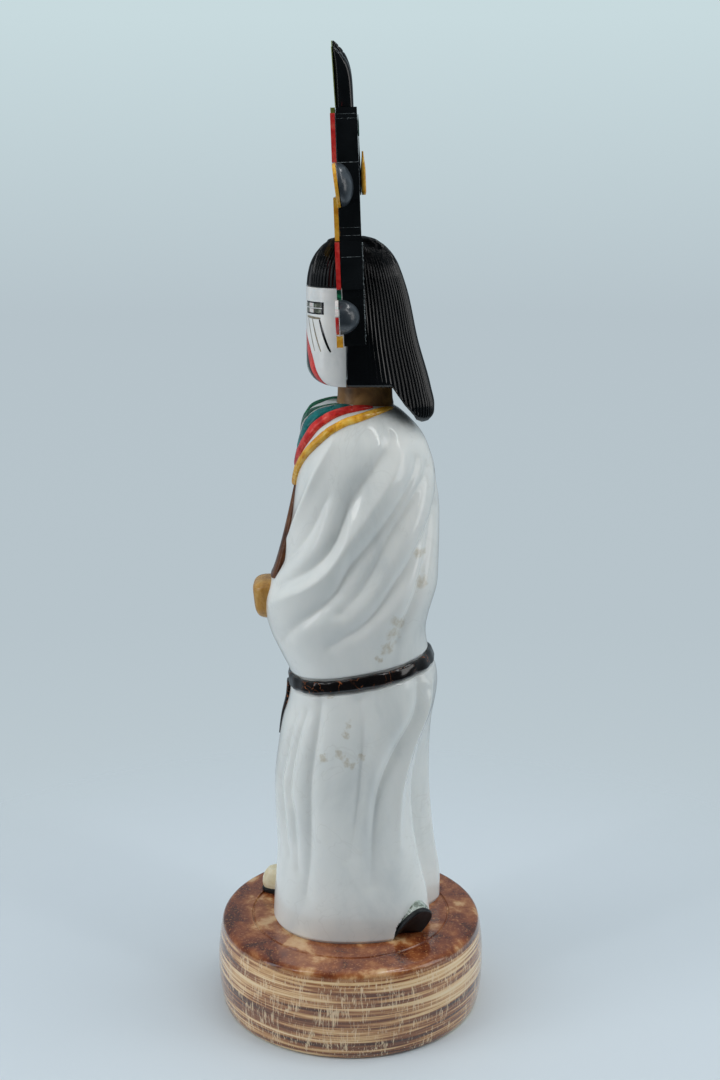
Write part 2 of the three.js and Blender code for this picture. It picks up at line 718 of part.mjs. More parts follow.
function buildMask() {
  const whole = toSolid(maskGeometry(0));
  const inlayCore = toSolid(maskGeometry(-INLAY_DEPTH));
  const pocketCore = toSolid(maskGeometry(-INLAY_DEPTH - FIT));
  const inlayLayer = whole.subtract(inlayCore);
  const pocketLayer = whole.subtract(pocketCore);
  let mask = whole;
  for (const band of CHIN_BANDS) {
    const prism = frontPrism(archShape(band.outer, band.inner, -FIT / 2));
    add(band.name, toGeometry(inlayLayer.intersect(prism)), finish(band.color, 0.2));
  }
  const [first, last] = [CHIN_BANDS[0], CHIN_BANDS[CHIN_BANDS.length - 1]];
  const arch = frontPrism(archShape(first.outer, last.inner, FIT / 2));
  mask = mask.subtract(pocketLayer.intersect(arch));
  for (const [side, sign] of [['left', 1], ['right', -1]]) {
    const edges = [EYE_INNER * sign, EYE_OUTER * sign].sort((a, b) => a - b);
    const eye = frontPrism(rectangleShape(...edges, EYE_LOW, EYE_HIGH));
    const socket = frontPrism(
      rectangleShape(edges[0] - FIT, edges[1] + FIT, EYE_LOW - FIT, EYE_HIGH + FIT),
    );
    add(`eye_${side}`, toGeometry(inlayLayer.intersect(eye)), JET);
    mask = mask.subtract(pocketLayer.intersect(socket));
  }
  add('mask', toGeometry(mask), SHELL);
}

// Neck between the shoulders and the head
function buildNeck() {
  const [halfX, halfY] = NECK_HALF;
  const rings = [-3, NECK_LENGTH - FIT].map((height) => Array.from({ length: 24 }, (_, i) => {
    const angle = (i / 24) * FULL_TURN;
    return [halfX * Math.cos(angle), NECK_CENTRE_Y + halfY * Math.sin(angle), SHOULDER_Z + height];
  }));
  add('neck', toGeometry(toSolid(skin(rings)).subtract(robeCutter)), TAN);
}

// Hair. Rows: height above the head's underside, front reach, back reach, half width as a share.
const HAIR_SECTIONS = [
  [-15, 12, 31.4, 0.92],
  [-13, 13, 33, 0.97],
  [-9.6, 14, 33.5, 1],
  [-1.8, 15.5, 32, 1.03],
  [16, 16.6, 26.9, 1.01],
  [37.8, 16.8, 21.8, 0.96],
  [42.4, 16.2, 20.2, 0.93],
  [47, 14.8, 18.2, 0.86],
  [50.8, 12.4, 15.5, 0.75],
  [53.8, 9.2, 12, 0.58],
  [55.6, 5.8, 8.4, 0.37],
  [56.2, 1.4, 5.8, 0.18],
];
const HAIR_CENTRE_Y = 2;
const HAIR_SIDES = 44;

function hairPoint(angle, height, flute) {
  const [cos, sin] = roundedPoint(angle, MASK_SQUARENESS - 0.2);
  const half = column(HAIR_SECTIONS, height, 3) * HAIR_HALF_WIDTH;
  const front = column(HAIR_SECTIONS, height, 1);
  const back = column(HAIR_SECTIONS, height, 2);
  const reach = sin < 0 ? front + HAIR_CENTRE_Y : back - HAIR_CENTRE_Y;
  const x = cos * half - flute * Math.cos(angle);
  const y = HAIR_CENTRE_Y + sin * reach - flute * Math.sin(angle);
  return [x, y, HEAD_Z + height];
}

function hairSolid(from) {
  const levels = HAIR_SECTIONS.map((row) => row[0]).filter((height) => height >= from - 0.01);
  const rings = levels.map((height) => Array.from({ length: HAIR_SIDES }, (_, i) => {
    const flute = i % 2 === 0 ? 0 : HAIR_FLUTE;
    return hairPoint((i / HAIR_SIDES) * FULL_TURN, height, flute);
  }));
  return toSolid(skin(rings));
}

// The board stands in its own leaning frame: x across, y back, z up its face from the lower end
const boardFrame = new THREE.Group();
boardFrame.position.set(0, -BOARD_FRONT_LOW, BOARD_Z);
boardFrame.rotation.x = radians(BOARD_LEAN);
boardFrame.updateMatrix();
doll.add(boardFrame);
const boardLean = boardFrame.matrix;

// Plain block in the board's frame, grown on every side
function boardBlock(x0, x1, z0, z1, grow = 0) {
  const size = [x1 - x0 + 2 * grow, BOARD_THICK + 2 * grow, z1 - z0 + 2 * grow];
  return toSolid(box(...size, (x0 + x1) / 2, BOARD_THICK / 2, (z0 + z1) / 2));
}

function boardSolid(grow) {
  const parts = BOARD_ROWS.map(({ half, low, high }) => boardBlock(-half, half, low - 1, high, grow));
  parts[0] = boardBlock(-BROW.half, BROW.half, BROW.low, BROW.high, grow);
  parts.push(boardBlock(LEG_IN, LEG_OUT, 0, BROW.low + 1, grow));
  parts.push(boardBlock(-LEG_OUT, -LEG_IN, 0, BROW.low + 1, grow));
  return parts.reduce((whole, part) => whole.add(part));
}

function buildHair() {
  const frontHalf = toSolid(box(120, 80, 200, 0, -FIT - 40, 0)).transform(boardLean.elements);
  const fringe = hairSolid(FRINGE_LOW).intersect(frontHalf);
  add('hair_front', toGeometry(fringe), JET);
  const behindMask = toSolid(box(120, 120, 300, 0, 60 - MASK_BACK + FIT, HEAD_Z));
  const under = new THREE.Shape();
  const neckBack = NECK_CENTRE_Y + NECK_HALF[1];
  const underline = [[-20, 0], [neckBack, 0], [21, -7.6], [25.7, -13.4], [29, -14.8], [34, -15.2]];
  under.moveTo(-20, -60);
  underline.forEach(([y, z]) => under.lineTo(y, z));
  under.lineTo(60, -15.2);
  under.lineTo(60, -60);
  const wedge = new THREE.ExtrudeGeometry(under, { depth: 120, bevelEnabled: false });
  wedge.rotateX(Math.PI / 2).rotateZ(Math.PI / 2).translate(-60, 0, HEAD_Z);
  const bodyRoom = toSolid(wedge);
  const back = hairSolid(HAIR_SECTIONS[0][0])
    .intersect(behindMask)
    .subtract(bodyRoom)
    .subtract(robeCutter)
    .subtract(boardSolid(FIT).transform(boardLean.elements))
    .subtract(frontHalfAboveMask());
  add('hair_back', toGeometry(back), JET);
}

// Room in front of the board above the mask, where the fringe sits
function frontHalfAboveMask() {
  const block = box(120, 80, 80, 0, -40 + BOARD_THICK / 2, MASK_HEIGHT - (BOARD_Z - HEAD_Z) + 40);
  return toSolid(block).transform(boardLean.elements);
}

// Front inlays of the board: rectangles joined into one thin piece each
function addInlay(name, rectangles, material, thick = INLAY_THICK) {
  const middle = -FIT - thick / 2;
  const parts = rectangles.map(([x0, x1, z0, z1]) => (
    toSolid(box(x1 - x0, thick, z1 - z0, (x0 + x1) / 2, middle, (z0 + z1) / 2))
  ));
  add(name, toGeometry(parts.reduce((whole, part) => whole.add(part))), material, boardFrame);
}

const mirror = ([x0, x1, z0, z1]) => [-x1, -x0, z0, z1];

function buildBoard() {
  add('tableta', toGeometry(boardSolid(0)), JET, boardFrame);
  const seam = FIT / 2;
  const greenHalf = TIP.half - seam;
  const sides = [
    ['top_coral', [TIP.half + seam, TOP.half, TOP.low + seam, TOP.high], CORAL],
    ['brow_coral', [BROW_IN, BROW.half, BROW.low + seam, BROW.high - seam], CORAL],
    ['brow_malachite', [LEG_IN, LEG_OUT, EAR_MIDDLE + EAR_RADIUS + FIT - 4, BROW.low - seam], MALACHITE],
  ];
  for (const [name, rectangle, material] of sides) {
    addInlay(`${name}_left`, [rectangle], material);
    addInlay(`${name}_right`, [mirror(rectangle)], material);
  }
  addInlay('top_green', [[-greenHalf, greenHalf, TOP.low + seam, TIP.high]], finish(0x6f7f3a, 0.25));
  const lower = [HEAD_CLEAR_HALF, WAIST.half, WAIST.low + seam, WAIST.high - seam];
  const whole = [-WAIST.half, WAIST.half, HEAD_CLEAR_TOP, WAIST.high - seam];
  addInlay('waist_amber', [lower, mirror(lower), whole], AMBER);
  const step = (SHOULDER.high - SHOULDER.low - 2 * seam) / CLOUD_HALF.length;
  const cloud = CLOUD_HALF.map((half, i) => {
    const low = SHOULDER.low + seam + (i > 0 ? i * step - 0.5 : 0);
    return [-half, half, low, SHOULDER.low + seam + (i + 1) * step];
  });
  addInlay('cloud_shell', cloud, SHELL, CLOUD_THICK);
}

// Crest feather in the board's frame: thick at the foot, curling forward to a thin tip
function crestRings(feather, front, back) {
  const rings = [];
  const steps = 5;
  for (let i = 0; i <= steps; i += 1) {
    const share = (0.985 * i) / steps;
    const half = CREST_HALF_WIDTH * (0.82 + 0.5 * share) * Math.sqrt(1 - share ** 5);
    const y0 = front(share);
    const y1 = Math.max(y0 + 0.25, back(share));
    const cut = Math.min(0.6, (y1 - y0) * 0.3);
    const outline = [
      [-half, y0], [half, y0], [half, y1 - cut], [half - cut, y1], [-half + cut, y1], [-half, y1 - cut],
    ];
    rings.push(outline.map(([x, y]) => [x, y, share * feather.tall]));
  }
  return rings;
}

function buildCrest() {
  for (const feather of CREST) {
    const holder = new THREE.Group();
    holder.position.set(feather.across, 0, TIP.high + FIT + Math.abs(feather.splay) * 0.06);
    holder.rotation.y = radians(feather.splay);
    boardFrame.add(holder);
    const face = (share) => -CREST_FRONT - CREST_SWEEP * share;
    const plateBack = (share) => face(share) + CREST_PLATE;
    const bodyFront = (share) => plateBack(share) + FIT;
    const bodyBack = (share) => -CREST_FRONT + CREST_THICK - CREST_CURL * share ** CREST_BEND;
    const plate = skin(crestRings(feather, face, plateBack));
    const body = skin(crestRings(feather, bodyFront, bodyBack));
    add(`crest_feather_${feather.side}`, body, JET, holder);
    add(`crest_inlay_${feather.side}`, plate, AMBER, holder);
  }
}

// Quarter of an ellipsoid with a flat front, standing out from the board's edge
function quarterDome(reach, high, depth) {
  const dome = new THREE.SphereGeometry(1, 16, 10);
  dome.rotateX(Math.PI / 2);
  dome.scale(reach, depth, high);
  const keep = box(40, 40, 60, 20, 20, 0);
  return toSolid(dome).intersect(toSolid(keep));
}

function halfDisc(reach, high, low = -1) {
  const disc = new THREE.CylinderGeometry(1, 1, PLATE_THICK, 20);
  disc.scale(reach, 1, high);
  const span = high * (1 - low);
  return toSolid(disc).intersect(toSolid(box(40, 40, span + 1, 20, 0, high * low + span / 2 + 0.5)));
}

function buildSides() {
  for (const [side, sign] of [['left', 1], ['right', -1]]) {
    const place = (parent, x, y, z, turn) => {
      const holder = new THREE.Group();
      holder.position.set(x * sign, y, z);
      holder.rotation.x = radians(turn);
      parent.add(holder);
      return holder;
    };
    const flip = (solid) => (sign > 0 ? solid : solid.mirror([1, 0, 0]));
    const lobe = place(boardFrame, SHOULDER.half + FIT, -LOBE_FORWARD, LOBE_MIDDLE, LOBE_TURN);
    const lobeBody = flip(quarterDome(LOBE_REACH, LOBE_TALL / 2, LOBE_DEEP));
    add(`side_feather_${side}`, toGeometry(lobeBody), JET, lobe);
    const lobePlate = flip(halfDisc(LOBE_REACH, LOBE_TALL / 2));
    const plateMesh = add(`side_inlay_${side}`, toGeometry(lobePlate), AMBER, lobe);
    plateMesh.position.y = -FIT - PLATE_THICK / 2;

    const ear = place(boardFrame, LEG_OUT + FIT, -EAR_FORWARD, EAR_MIDDLE, 0);
    const boss = flip(quarterDome(EAR_RADIUS, EAR_RADIUS, EAR_DEEP));
    add(`ear_boss_${side}`, toGeometry(boss), JET, ear);
    const disc = flip(halfDisc(EAR_RADIUS, EAR_RADIUS));
    const split = EAR_RADIUS * 0.1;
    const upper = toSolid(box(60, 40, 40, 0, 0, split + FIT / 2 + 20));
    const lower = toSolid(box(60, 40, 40, 0, 0, split - FIT / 2 - 20));
    const shell = add(`ear_shell_${side}`, toGeometry(disc.intersect(upper)), SHELL, ear);
    const coral = add(`ear_coral_${side}`, toGeometry(disc.intersect(lower)), CORAL, ear);
    for (const piece of [shell, coral]) piece.position.y = -FIT - PLATE_THICK / 2;
    const pendant = new THREE.BoxGeometry(PENDANT_WIDE, PENDANT_DEEP, PENDANT_TALL);
    const hang = add(`pendant_${side}`, pendant, AMBER, ear);
    const drop = -EAR_RADIUS - FIT - PENDANT_TALL / 2;
    hang.position.set(sign * PENDANT_WIDE / 2, -FIT, drop);
  }
}

function buildPlume() {
  const low = [PLUME_LOW, PLUME_GREEN_LOW - FIT];
  const face = [PLUME_LOW, PLUME_HIGH];
  const high = [PLUME_GREEN_LOW, PLUME_GREEN_HIGH];
  const strip = (name, thick, y, [z0, z1], material) => {
    const geometry = box(2 * PLUME_HALF_WIDTH, thick, z1 - z0, 0, y + thick / 2, (z0 + z1) / 2);
    add(name, geometry, material, boardFrame);
  };
  const back = BOARD_THICK + FIT;
  strip('back_plume', PLUME_THICK, back, low, JET);
  strip('back_plume_amber', PLUME_AMBER_THICK, back + PLUME_THICK + FIT, face, AMBER);
  strip('back_plume_green', PLUME_THICK, back, high, MALACHITE);
}

buildBase();
buildRobe();
const beltRoom = buildBelt();
buildSash(beltRoom);
const handsRoom = buildHands();
const necklaceRoom = buildNecklace();
buildChest(handsRoom, necklaceRoom);
buildNeck();
buildMask();
buildHair();
buildBoard();
buildCrest();
buildSides();
buildPlume();

export default doll;
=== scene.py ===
"""Looks of the kachina doll: carved and inlaid stone on a turned base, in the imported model's frame."""

import json
import logging
import math
from dataclasses import dataclass, field
from enum import Enum

import bmesh
import bpy
import numpy as np
from mathutils import Matrix, Vector

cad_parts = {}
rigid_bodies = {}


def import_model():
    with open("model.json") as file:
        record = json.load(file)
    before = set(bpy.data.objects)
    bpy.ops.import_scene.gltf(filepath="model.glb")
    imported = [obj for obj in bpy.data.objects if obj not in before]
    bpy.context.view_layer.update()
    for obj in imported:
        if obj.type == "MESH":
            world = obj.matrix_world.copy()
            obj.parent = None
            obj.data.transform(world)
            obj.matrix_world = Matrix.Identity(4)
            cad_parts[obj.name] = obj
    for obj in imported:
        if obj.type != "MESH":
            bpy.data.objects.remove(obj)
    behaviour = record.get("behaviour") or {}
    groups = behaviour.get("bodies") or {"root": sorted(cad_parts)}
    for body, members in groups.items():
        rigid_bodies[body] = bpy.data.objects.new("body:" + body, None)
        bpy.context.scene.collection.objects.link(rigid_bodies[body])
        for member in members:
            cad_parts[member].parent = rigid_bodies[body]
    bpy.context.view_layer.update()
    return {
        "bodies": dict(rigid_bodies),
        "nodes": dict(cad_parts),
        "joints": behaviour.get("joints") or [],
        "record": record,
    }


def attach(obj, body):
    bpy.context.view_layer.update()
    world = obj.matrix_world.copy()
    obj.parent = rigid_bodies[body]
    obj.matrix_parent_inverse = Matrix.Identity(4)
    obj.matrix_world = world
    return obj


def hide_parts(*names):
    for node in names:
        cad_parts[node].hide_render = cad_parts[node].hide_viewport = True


Tree = bpy.types.NodeTree
Socket = bpy.types.NodeSocket

LOG = logging.getLogger("kachina_doll")
MM = 0.001
BODY = "root"

BASE_TOP = 37.5
ROBE_TALL = 220.0
SHOULDER_Z = BASE_TOP + ROBE_TALL
HEAD_Z = SHOULDER_Z + 8.2
BOARD_FOOT = (0.0, -1.9, 282.3)
BOARD_LEAN = 2.1
BOARD_THICK = 7.9
FIT = 0.3
# Tile tones of the two points that close the ends of a strand or band
END_TONES = (0.5, 0.5)


class Slot(Enum):
    """Material slots of the record."""

    BASE = "onyx_marble"
    ROBE = "white_marble"
    MASK = "mask_white"
    BROWN = "brown_stone"
    VEINED = "veined_black_stone"
    TAN = "tan_stone"
    JET = "jet"
    CORAL = "coral"
    AMBER = "amber"
    MALACHITE = "malachite"
    TURQUOISE = "turquoise"
    PEARL = "pearl_shell"
    CREAM = "cream_stone"


# Number helpers

def smoothstep(low: float, high: float, value: np.ndarray) -> np.ndarray:
    """Eases from 0 at low to 1 at high."""
    share = np.clip((value - low) / (high - low), 0.0, 1.0)
    return share * share * (3.0 - 2.0 * share)


def bend(value: np.ndarray, squareness: float) -> np.ndarray:
    """Turns a cosine or sine into that of a rounded square."""
    return np.sign(value) * np.abs(value) ** (2.0 / squareness)


def read_table(table: tuple, heights: np.ndarray, column: int) -> np.ndarray:
    """Reads a column of a table of sections as a smooth curve.

    Args:
        table: rows that start with a height, lowest first.
        heights: heights to read at.
        column: the column to read.

    Returns:
        The column's value at each height.
    """
    rows = np.asarray(table, dtype=float)
    place, value = rows[:, 0], rows[:, column]
    slope = np.gradient(value, place)
    low = np.clip(np.searchsorted(place, heights, side="right") - 1, 0, len(place) - 2)
    span = place[low + 1] - place[low]
    u = np.clip((heights - place[low]) / span, 0.0, 1.0)
    keep = (1 + 2 * u) * (1 - u) ** 2 * value[low] + u * u * (3 - 2 * u) * value[low + 1]
    return keep + span * (u * (1 - u) ** 2 * slope[low] - u * u * (1 - u) * slope[low + 1])


def step_line(points: tuple, steps: int) -> np.ndarray:
    """Lays a smooth curve through a few points.

    Args:
        points: the points, two numbers each.
        steps: how many steps between neighbours.

    Returns:
        The stepped curve, one row a point.
    """
    given = np.asarray(points, dtype=float)
    ends = np.vstack([2 * given[0] - given[1], given, 2 * given[-1] - given[-2]])
    rows = []
    for i in range(1, len(ends) - 2):
        u = (np.arange(steps) / steps)[:, None]
        a, b, c, d = ends[i - 1], ends[i], ends[i + 1], ends[i + 2]
        rows.append(0.5 * (2 * b + (c - a) * u + (2 * a - 5 * b + 4 * c - d) * u ** 2
                           + (3 * b - a - 3 * c + d) * u ** 3))
    return np.vstack(rows + [given[-1:]])


def around(count: int) -> np.ndarray:
    """Gives evenly spaced turns round a full circle in radians, as one row."""
    return np.linspace(0, 2 * np.pi, count, endpoint=False)[None, :]


def rising(low: float, high: float, count: int) -> np.ndarray:
    """Gives evenly spaced numbers from low to high, as one column."""
    return np.linspace(low, high, count)[:, None]


def grid(*coordinates: np.ndarray | float) -> np.ndarray:
    """Joins x, y and z into points, where each is a number, a row, a column or a full grid."""
    return np.stack(np.broadcast_arrays(*coordinates), -1)


def unit(vectors: np.ndarray) -> np.ndarray:
    """Makes vectors one long."""
    return vectors / np.linalg.norm(vectors, axis=-1, keepdims=True)


def way_along(points: np.ndarray) -> np.ndarray:
    """Measures how far along a line of points each one lies."""
    return np.concatenate([[0], np.cumsum(np.linalg.norm(np.diff(points, axis=0), axis=1))])


def bulge_at(value: np.ndarray, middle: float, spread: float) -> np.ndarray:
    """Gives 1 at the middle, falling off smoothly to 0 on both sides."""
    return np.exp(-((value - middle) / spread) ** 2)


def linear(colour: str) -> tuple[float, float, float, float]:
    """Turns an sRGB hex colour into linear red, green, blue and alpha."""
    parts = [int(colour[i:i + 2], 16) / 255.0 for i in (1, 3, 5)]
    level = [c / 12.92 if c <= 0.04045 else ((c + 0.055) / 1.055) ** 2.4 for c in parts]
    return (*level, 1.0)


# Meshes

def loft(rings: np.ndarray, closed: bool = True) -> tuple[np.ndarray, list]:
    """Skins a stack of rings and closes both ends.

    Args:
        rings: points in millimetres as rows, columns and coordinates.
        closed: whether each ring's last point joins its first.

    Returns:
        Points and faces.
    """
    rows, columns, _ = rings.shape
    row = np.arange(rows - 1)[:, None]
    column = np.arange(columns if closed else columns - 1)[None, :]
    after = (column + 1) % columns
    a, b = row * columns + column, row * columns + after
    faces = grid(a, b, b + columns, a + columns).reshape(-1, 4).tolist()
    points = rings.reshape(-1, 3)
    if closed:
        points = np.vstack([points, rings[0].mean(0), rings[-1].mean(0)])
        low, high = len(points) - 2, len(points) - 1
        last = (rows - 1) * columns
        for i in range(columns):
            n = (i + 1) % columns
            faces.append([low, n, i])
            faces.append([high, last + i, last + n])
    return points, faces


def tube(rings: np.ndarray) -> tuple[np.ndarray, list]:
    """Skins rings that run round in a loop, with no ends."""
    points, faces = loft(np.concatenate([rings, rings[:1]]))
    count = rings.shape[0] * rings.shape[1]
    return points[:count], [[i % count for i in face] for face in faces if len(face) == 4]


def join(parts: list[tuple[np.ndarray, list]]) -> tuple[np.ndarray, list]:
    """Puts several shapes into one.

    Args:
        parts: points and faces of each shape.

    Returns:
        Points and faces of them all.
    """
    points, faces, start = [], [], 0
    for some, their in parts:
        points.append(some)
        faces += [[i + start for i in face] for face in their]
        start += len(some)
    return np.vstack(points), faces


def tip_forward(points: np.ndarray, degrees: float) -> np.ndarray:
    """Turns points about the x axis, with what is on top going forward.

    Args:
        points: the points, with the coordinates in the last axis.
        degrees: how far they turn.

    Returns:
        The turned points.
    """
    turn = math.radians(degrees)
    x, y, z = np.moveaxis(points, -1, 0)
    return grid(x, y * math.cos(turn) - z * math.sin(turn), y * math.sin(turn) + z * math.cos(turn))


def board_place(points: np.ndarray) -> np.ndarray:
    """Moves points from the leaning board's frame into the doll's."""
    return tip_forward(points, BOARD_LEAN) + np.asarray(BOARD_FOOT)


@dataclass
class Piece:
    """One finished object: its mesh, finish, slot and the CAD nodes that it stands for."""

    name: str
    shape: tuple
    finish: "Finish"
    slot: Slot
    replaces: tuple[str, ...] = ()
    sharp: float = 40.0
    bevel: float = 0.0
    tile: list[float] | None = None

    def build(self) -> bpy.types.Object:
        """Makes the object, dresses it and ties it to the frame.

        Returns:
            The object.
        """
        points, faces = self.shape
        mesh = bpy.data.meshes.new(self.name)
        mesh.from_pydata((np.asarray(points) * MM).tolist(), [], faces)
        if self.tile is not None:
            layer = mesh.attributes.new("tile", "FLOAT", "POINT")
            layer.data.foreach_set("value", self.tile)
        work = bmesh.new()
        work.from_mesh(mesh)
        bmesh.ops.recalc_face_normals(work, faces=work.faces)
        work.to_mesh(mesh)
        work.free()
        mesh.shade_smooth()
        mesh.set_sharp_from_angle(angle=math.radians(self.sharp))
        obj = bpy.data.objects.new(self.name, mesh)
        bpy.context.scene.collection.objects.link(obj)
        mesh.materials.append(self.finish.material())
        if self.bevel:
            round_edges(obj, self.bevel)
        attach(obj, BODY)
        if self.replaces:
            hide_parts(*self.replaces)
        LOG.info("%s: %d faces", self.name, len(mesh.polygons))
        return obj


def round_edges(obj: bpy.types.Object, width: float) -> None:
    """Rounds an object's sharp edges as hand polishing does.

    Args:
        obj: the object.
        width: width of the rounding in millimetres.
    """
    bevel = obj.modifiers.new("polished_edges", "BEVEL")
    bevel.width = width * MM
    bevel.segments = 3
    bevel.limit_method = "ANGLE"
    bevel.angle_limit = math.radians(32)
    bevel.harden_normals = True


# Materials

def add_node(tree: Tree, kind: str, settings: dict | None = None,
             sockets: dict | None = None) -> bpy.types.Node:
    """Adds one node with its settings and links.

    Args:
        tree: the node tree.
        kind: the node's type without its prefix.
        settings: properties of the node; "stops" are a colour ramp's places and values.
        sockets: input sockets by name or number, each a value or another node's output.

    Returns:
        The node.
    """
    node = tree.nodes.new("ShaderNode" + kind)
    for key, value in (settings or {}).items():
        if key == "stops":
            marks = node.color_ramp.elements
            while len(marks) < len(value):
                marks.new(0.5)
            for mark, (place, tone) in zip(marks, value):
                mark.position = place
                mark.color = linear(tone) if isinstance(tone, str) else (tone, tone, tone, 1.0)
        else:
            setattr(node, key, value)
    for key, value in (sockets or {}).items():
        if isinstance(value, Socket):
            tree.links.new(value, node.inputs[key])
        else:
            node.inputs[key].default_value = value
    return node


class Finish:
    """Anything that gives a material, made once and then shared."""

    name: str

    def material(self) -> bpy.types.Material:
        """Gives the material, building it the first time."""
        found = bpy.data.materials.get(self.name)
        if found:
            return found
        made = bpy.data.materials.new(self.name)
        made.use_nodes = True
        made.node_tree.nodes.clear()
        self.fill(made.node_tree)
        return made

    def fill(self, tree: Tree) -> None:
        """Fills the node tree."""
        raise NotImplementedError


def own_place(tree: Tree) -> Socket:
    """Gives the place in the object's own space."""
    return add_node(tree, "TexCoord").outputs["Object"]


def part_of(tree: Tree, vector: Socket, axis: str) -> Socket:
    """Gives one coordinate of a vector."""
    return add_node(tree, "SeparateXYZ", None, {0: vector}).outputs[axis]


def maths(tree: Tree, operation: str,
          *values: Socket | float) -> Socket:
    """Works out one operation on a few values."""
    return add_node(tree, "Math", {"operation": operation}, dict(enumerate(values))).outputs[0]


def ramp(tree: Tree, value: Socket, stops: tuple) -> Socket:
    """Reads a value off a ramp of places and colours."""
    return add_node(tree, "ValToRGB", {"stops": stops}, {"Fac": value}).outputs[0]


def blend(tree: Tree, share: Socket,
          *colours: Socket | str) -> Socket:
    """Mixes two colours, each a socket or sRGB hex, by the share of the second."""
    first, second = (linear(c) if isinstance(c, str) else c for c in colours)
    return add_node(tree, "MixRGB", None, {"Fac": share, "Color1": first, "Color2": second}).outputs[0]


def rescale(tree: Tree, value: Socket, low: float = 0.0, high: float = 1.0,
            start: float = 0.0, end: float = 1.0, smooth: bool = False) -> Socket:
    """Maps a value from one range onto another and holds it there.

    Args:
        tree: the node tree.
        value: the value.
        low: where it gives start.
        high: where it gives end.
        start: what low gives.
        end: what high gives.
        smooth: whether it eases in and out.

    Returns:
        The mapped value.
    """
    return add_node(tree, "MapRange", {"interpolation_type": "SMOOTHSTEP" if smooth else "LINEAR"}, {
        "Value": value, "From Min": low, "From Max": high, "To Min": start, "To Max": end}).outputs[0]


def real_noise(tree: Tree, size: float, stretch: tuple = (1.0, 1.0, 1.0), detail: float = 4.0,
               twist: float = 0.0, shift: float = 0.0) -> Socket:
    """Cloudy pattern of a real size in the object's own space.

    Args:
        tree: the node tree.
        size: size of a cloud in millimetres.
        stretch: how many times longer the clouds are along x, y and z.
        detail: finer octaves.
        twist: how much the pattern swirls.
        shift: moves the pattern, so that two of them differ.

    Returns:
        The pattern's value, about 0.5 in the middle.
    """
    scale = tuple(1.0 / (MM * size * s) for s in stretch)
    mapping = add_node(tree, "Mapping", None, {"Vector": own_place(tree), "Scale": scale,
                                               "Location": (shift, shift * 0.7, shift * 1.3)})
    noise = add_node(tree, "TexNoise", None, {"Vector": mapping.outputs[0], "Scale": 1.0, "Detail": detail,
                                              "Roughness": 0.58, "Distortion": twist})
    return noise.outputs[0]


def skin(tree: Tree, colour: Socket | tuple,
         roughness: Socket | float, relief: tuple, more: dict | None = None
         ) -> Socket:
    """Makes a surface with fine relief.

    Args:
        tree: the node tree.
        colour: its colour.
        roughness: its roughness.
        relief: pattern, strength and depth in millimetres of the relief.
        more: other sockets of the shader.

    Returns:
        The shader.
    """
    pattern, strength, deep = relief
    bump = add_node(tree, "Bump", None, {"Height": pattern, "Strength": strength, "Distance": deep * MM})
    sockets = {"Base Color": colour, "Roughness": roughness, "Normal": bump.outputs[0], **(more or {})}
    return add_node(tree, "BsdfPrincipled", None, sockets).outputs[0]


def finish_with(tree: Tree, shader: Socket) -> None:
    """Ends a material with its shader."""
    add_node(tree, "OutputMaterial", None, {"Surface": shader})


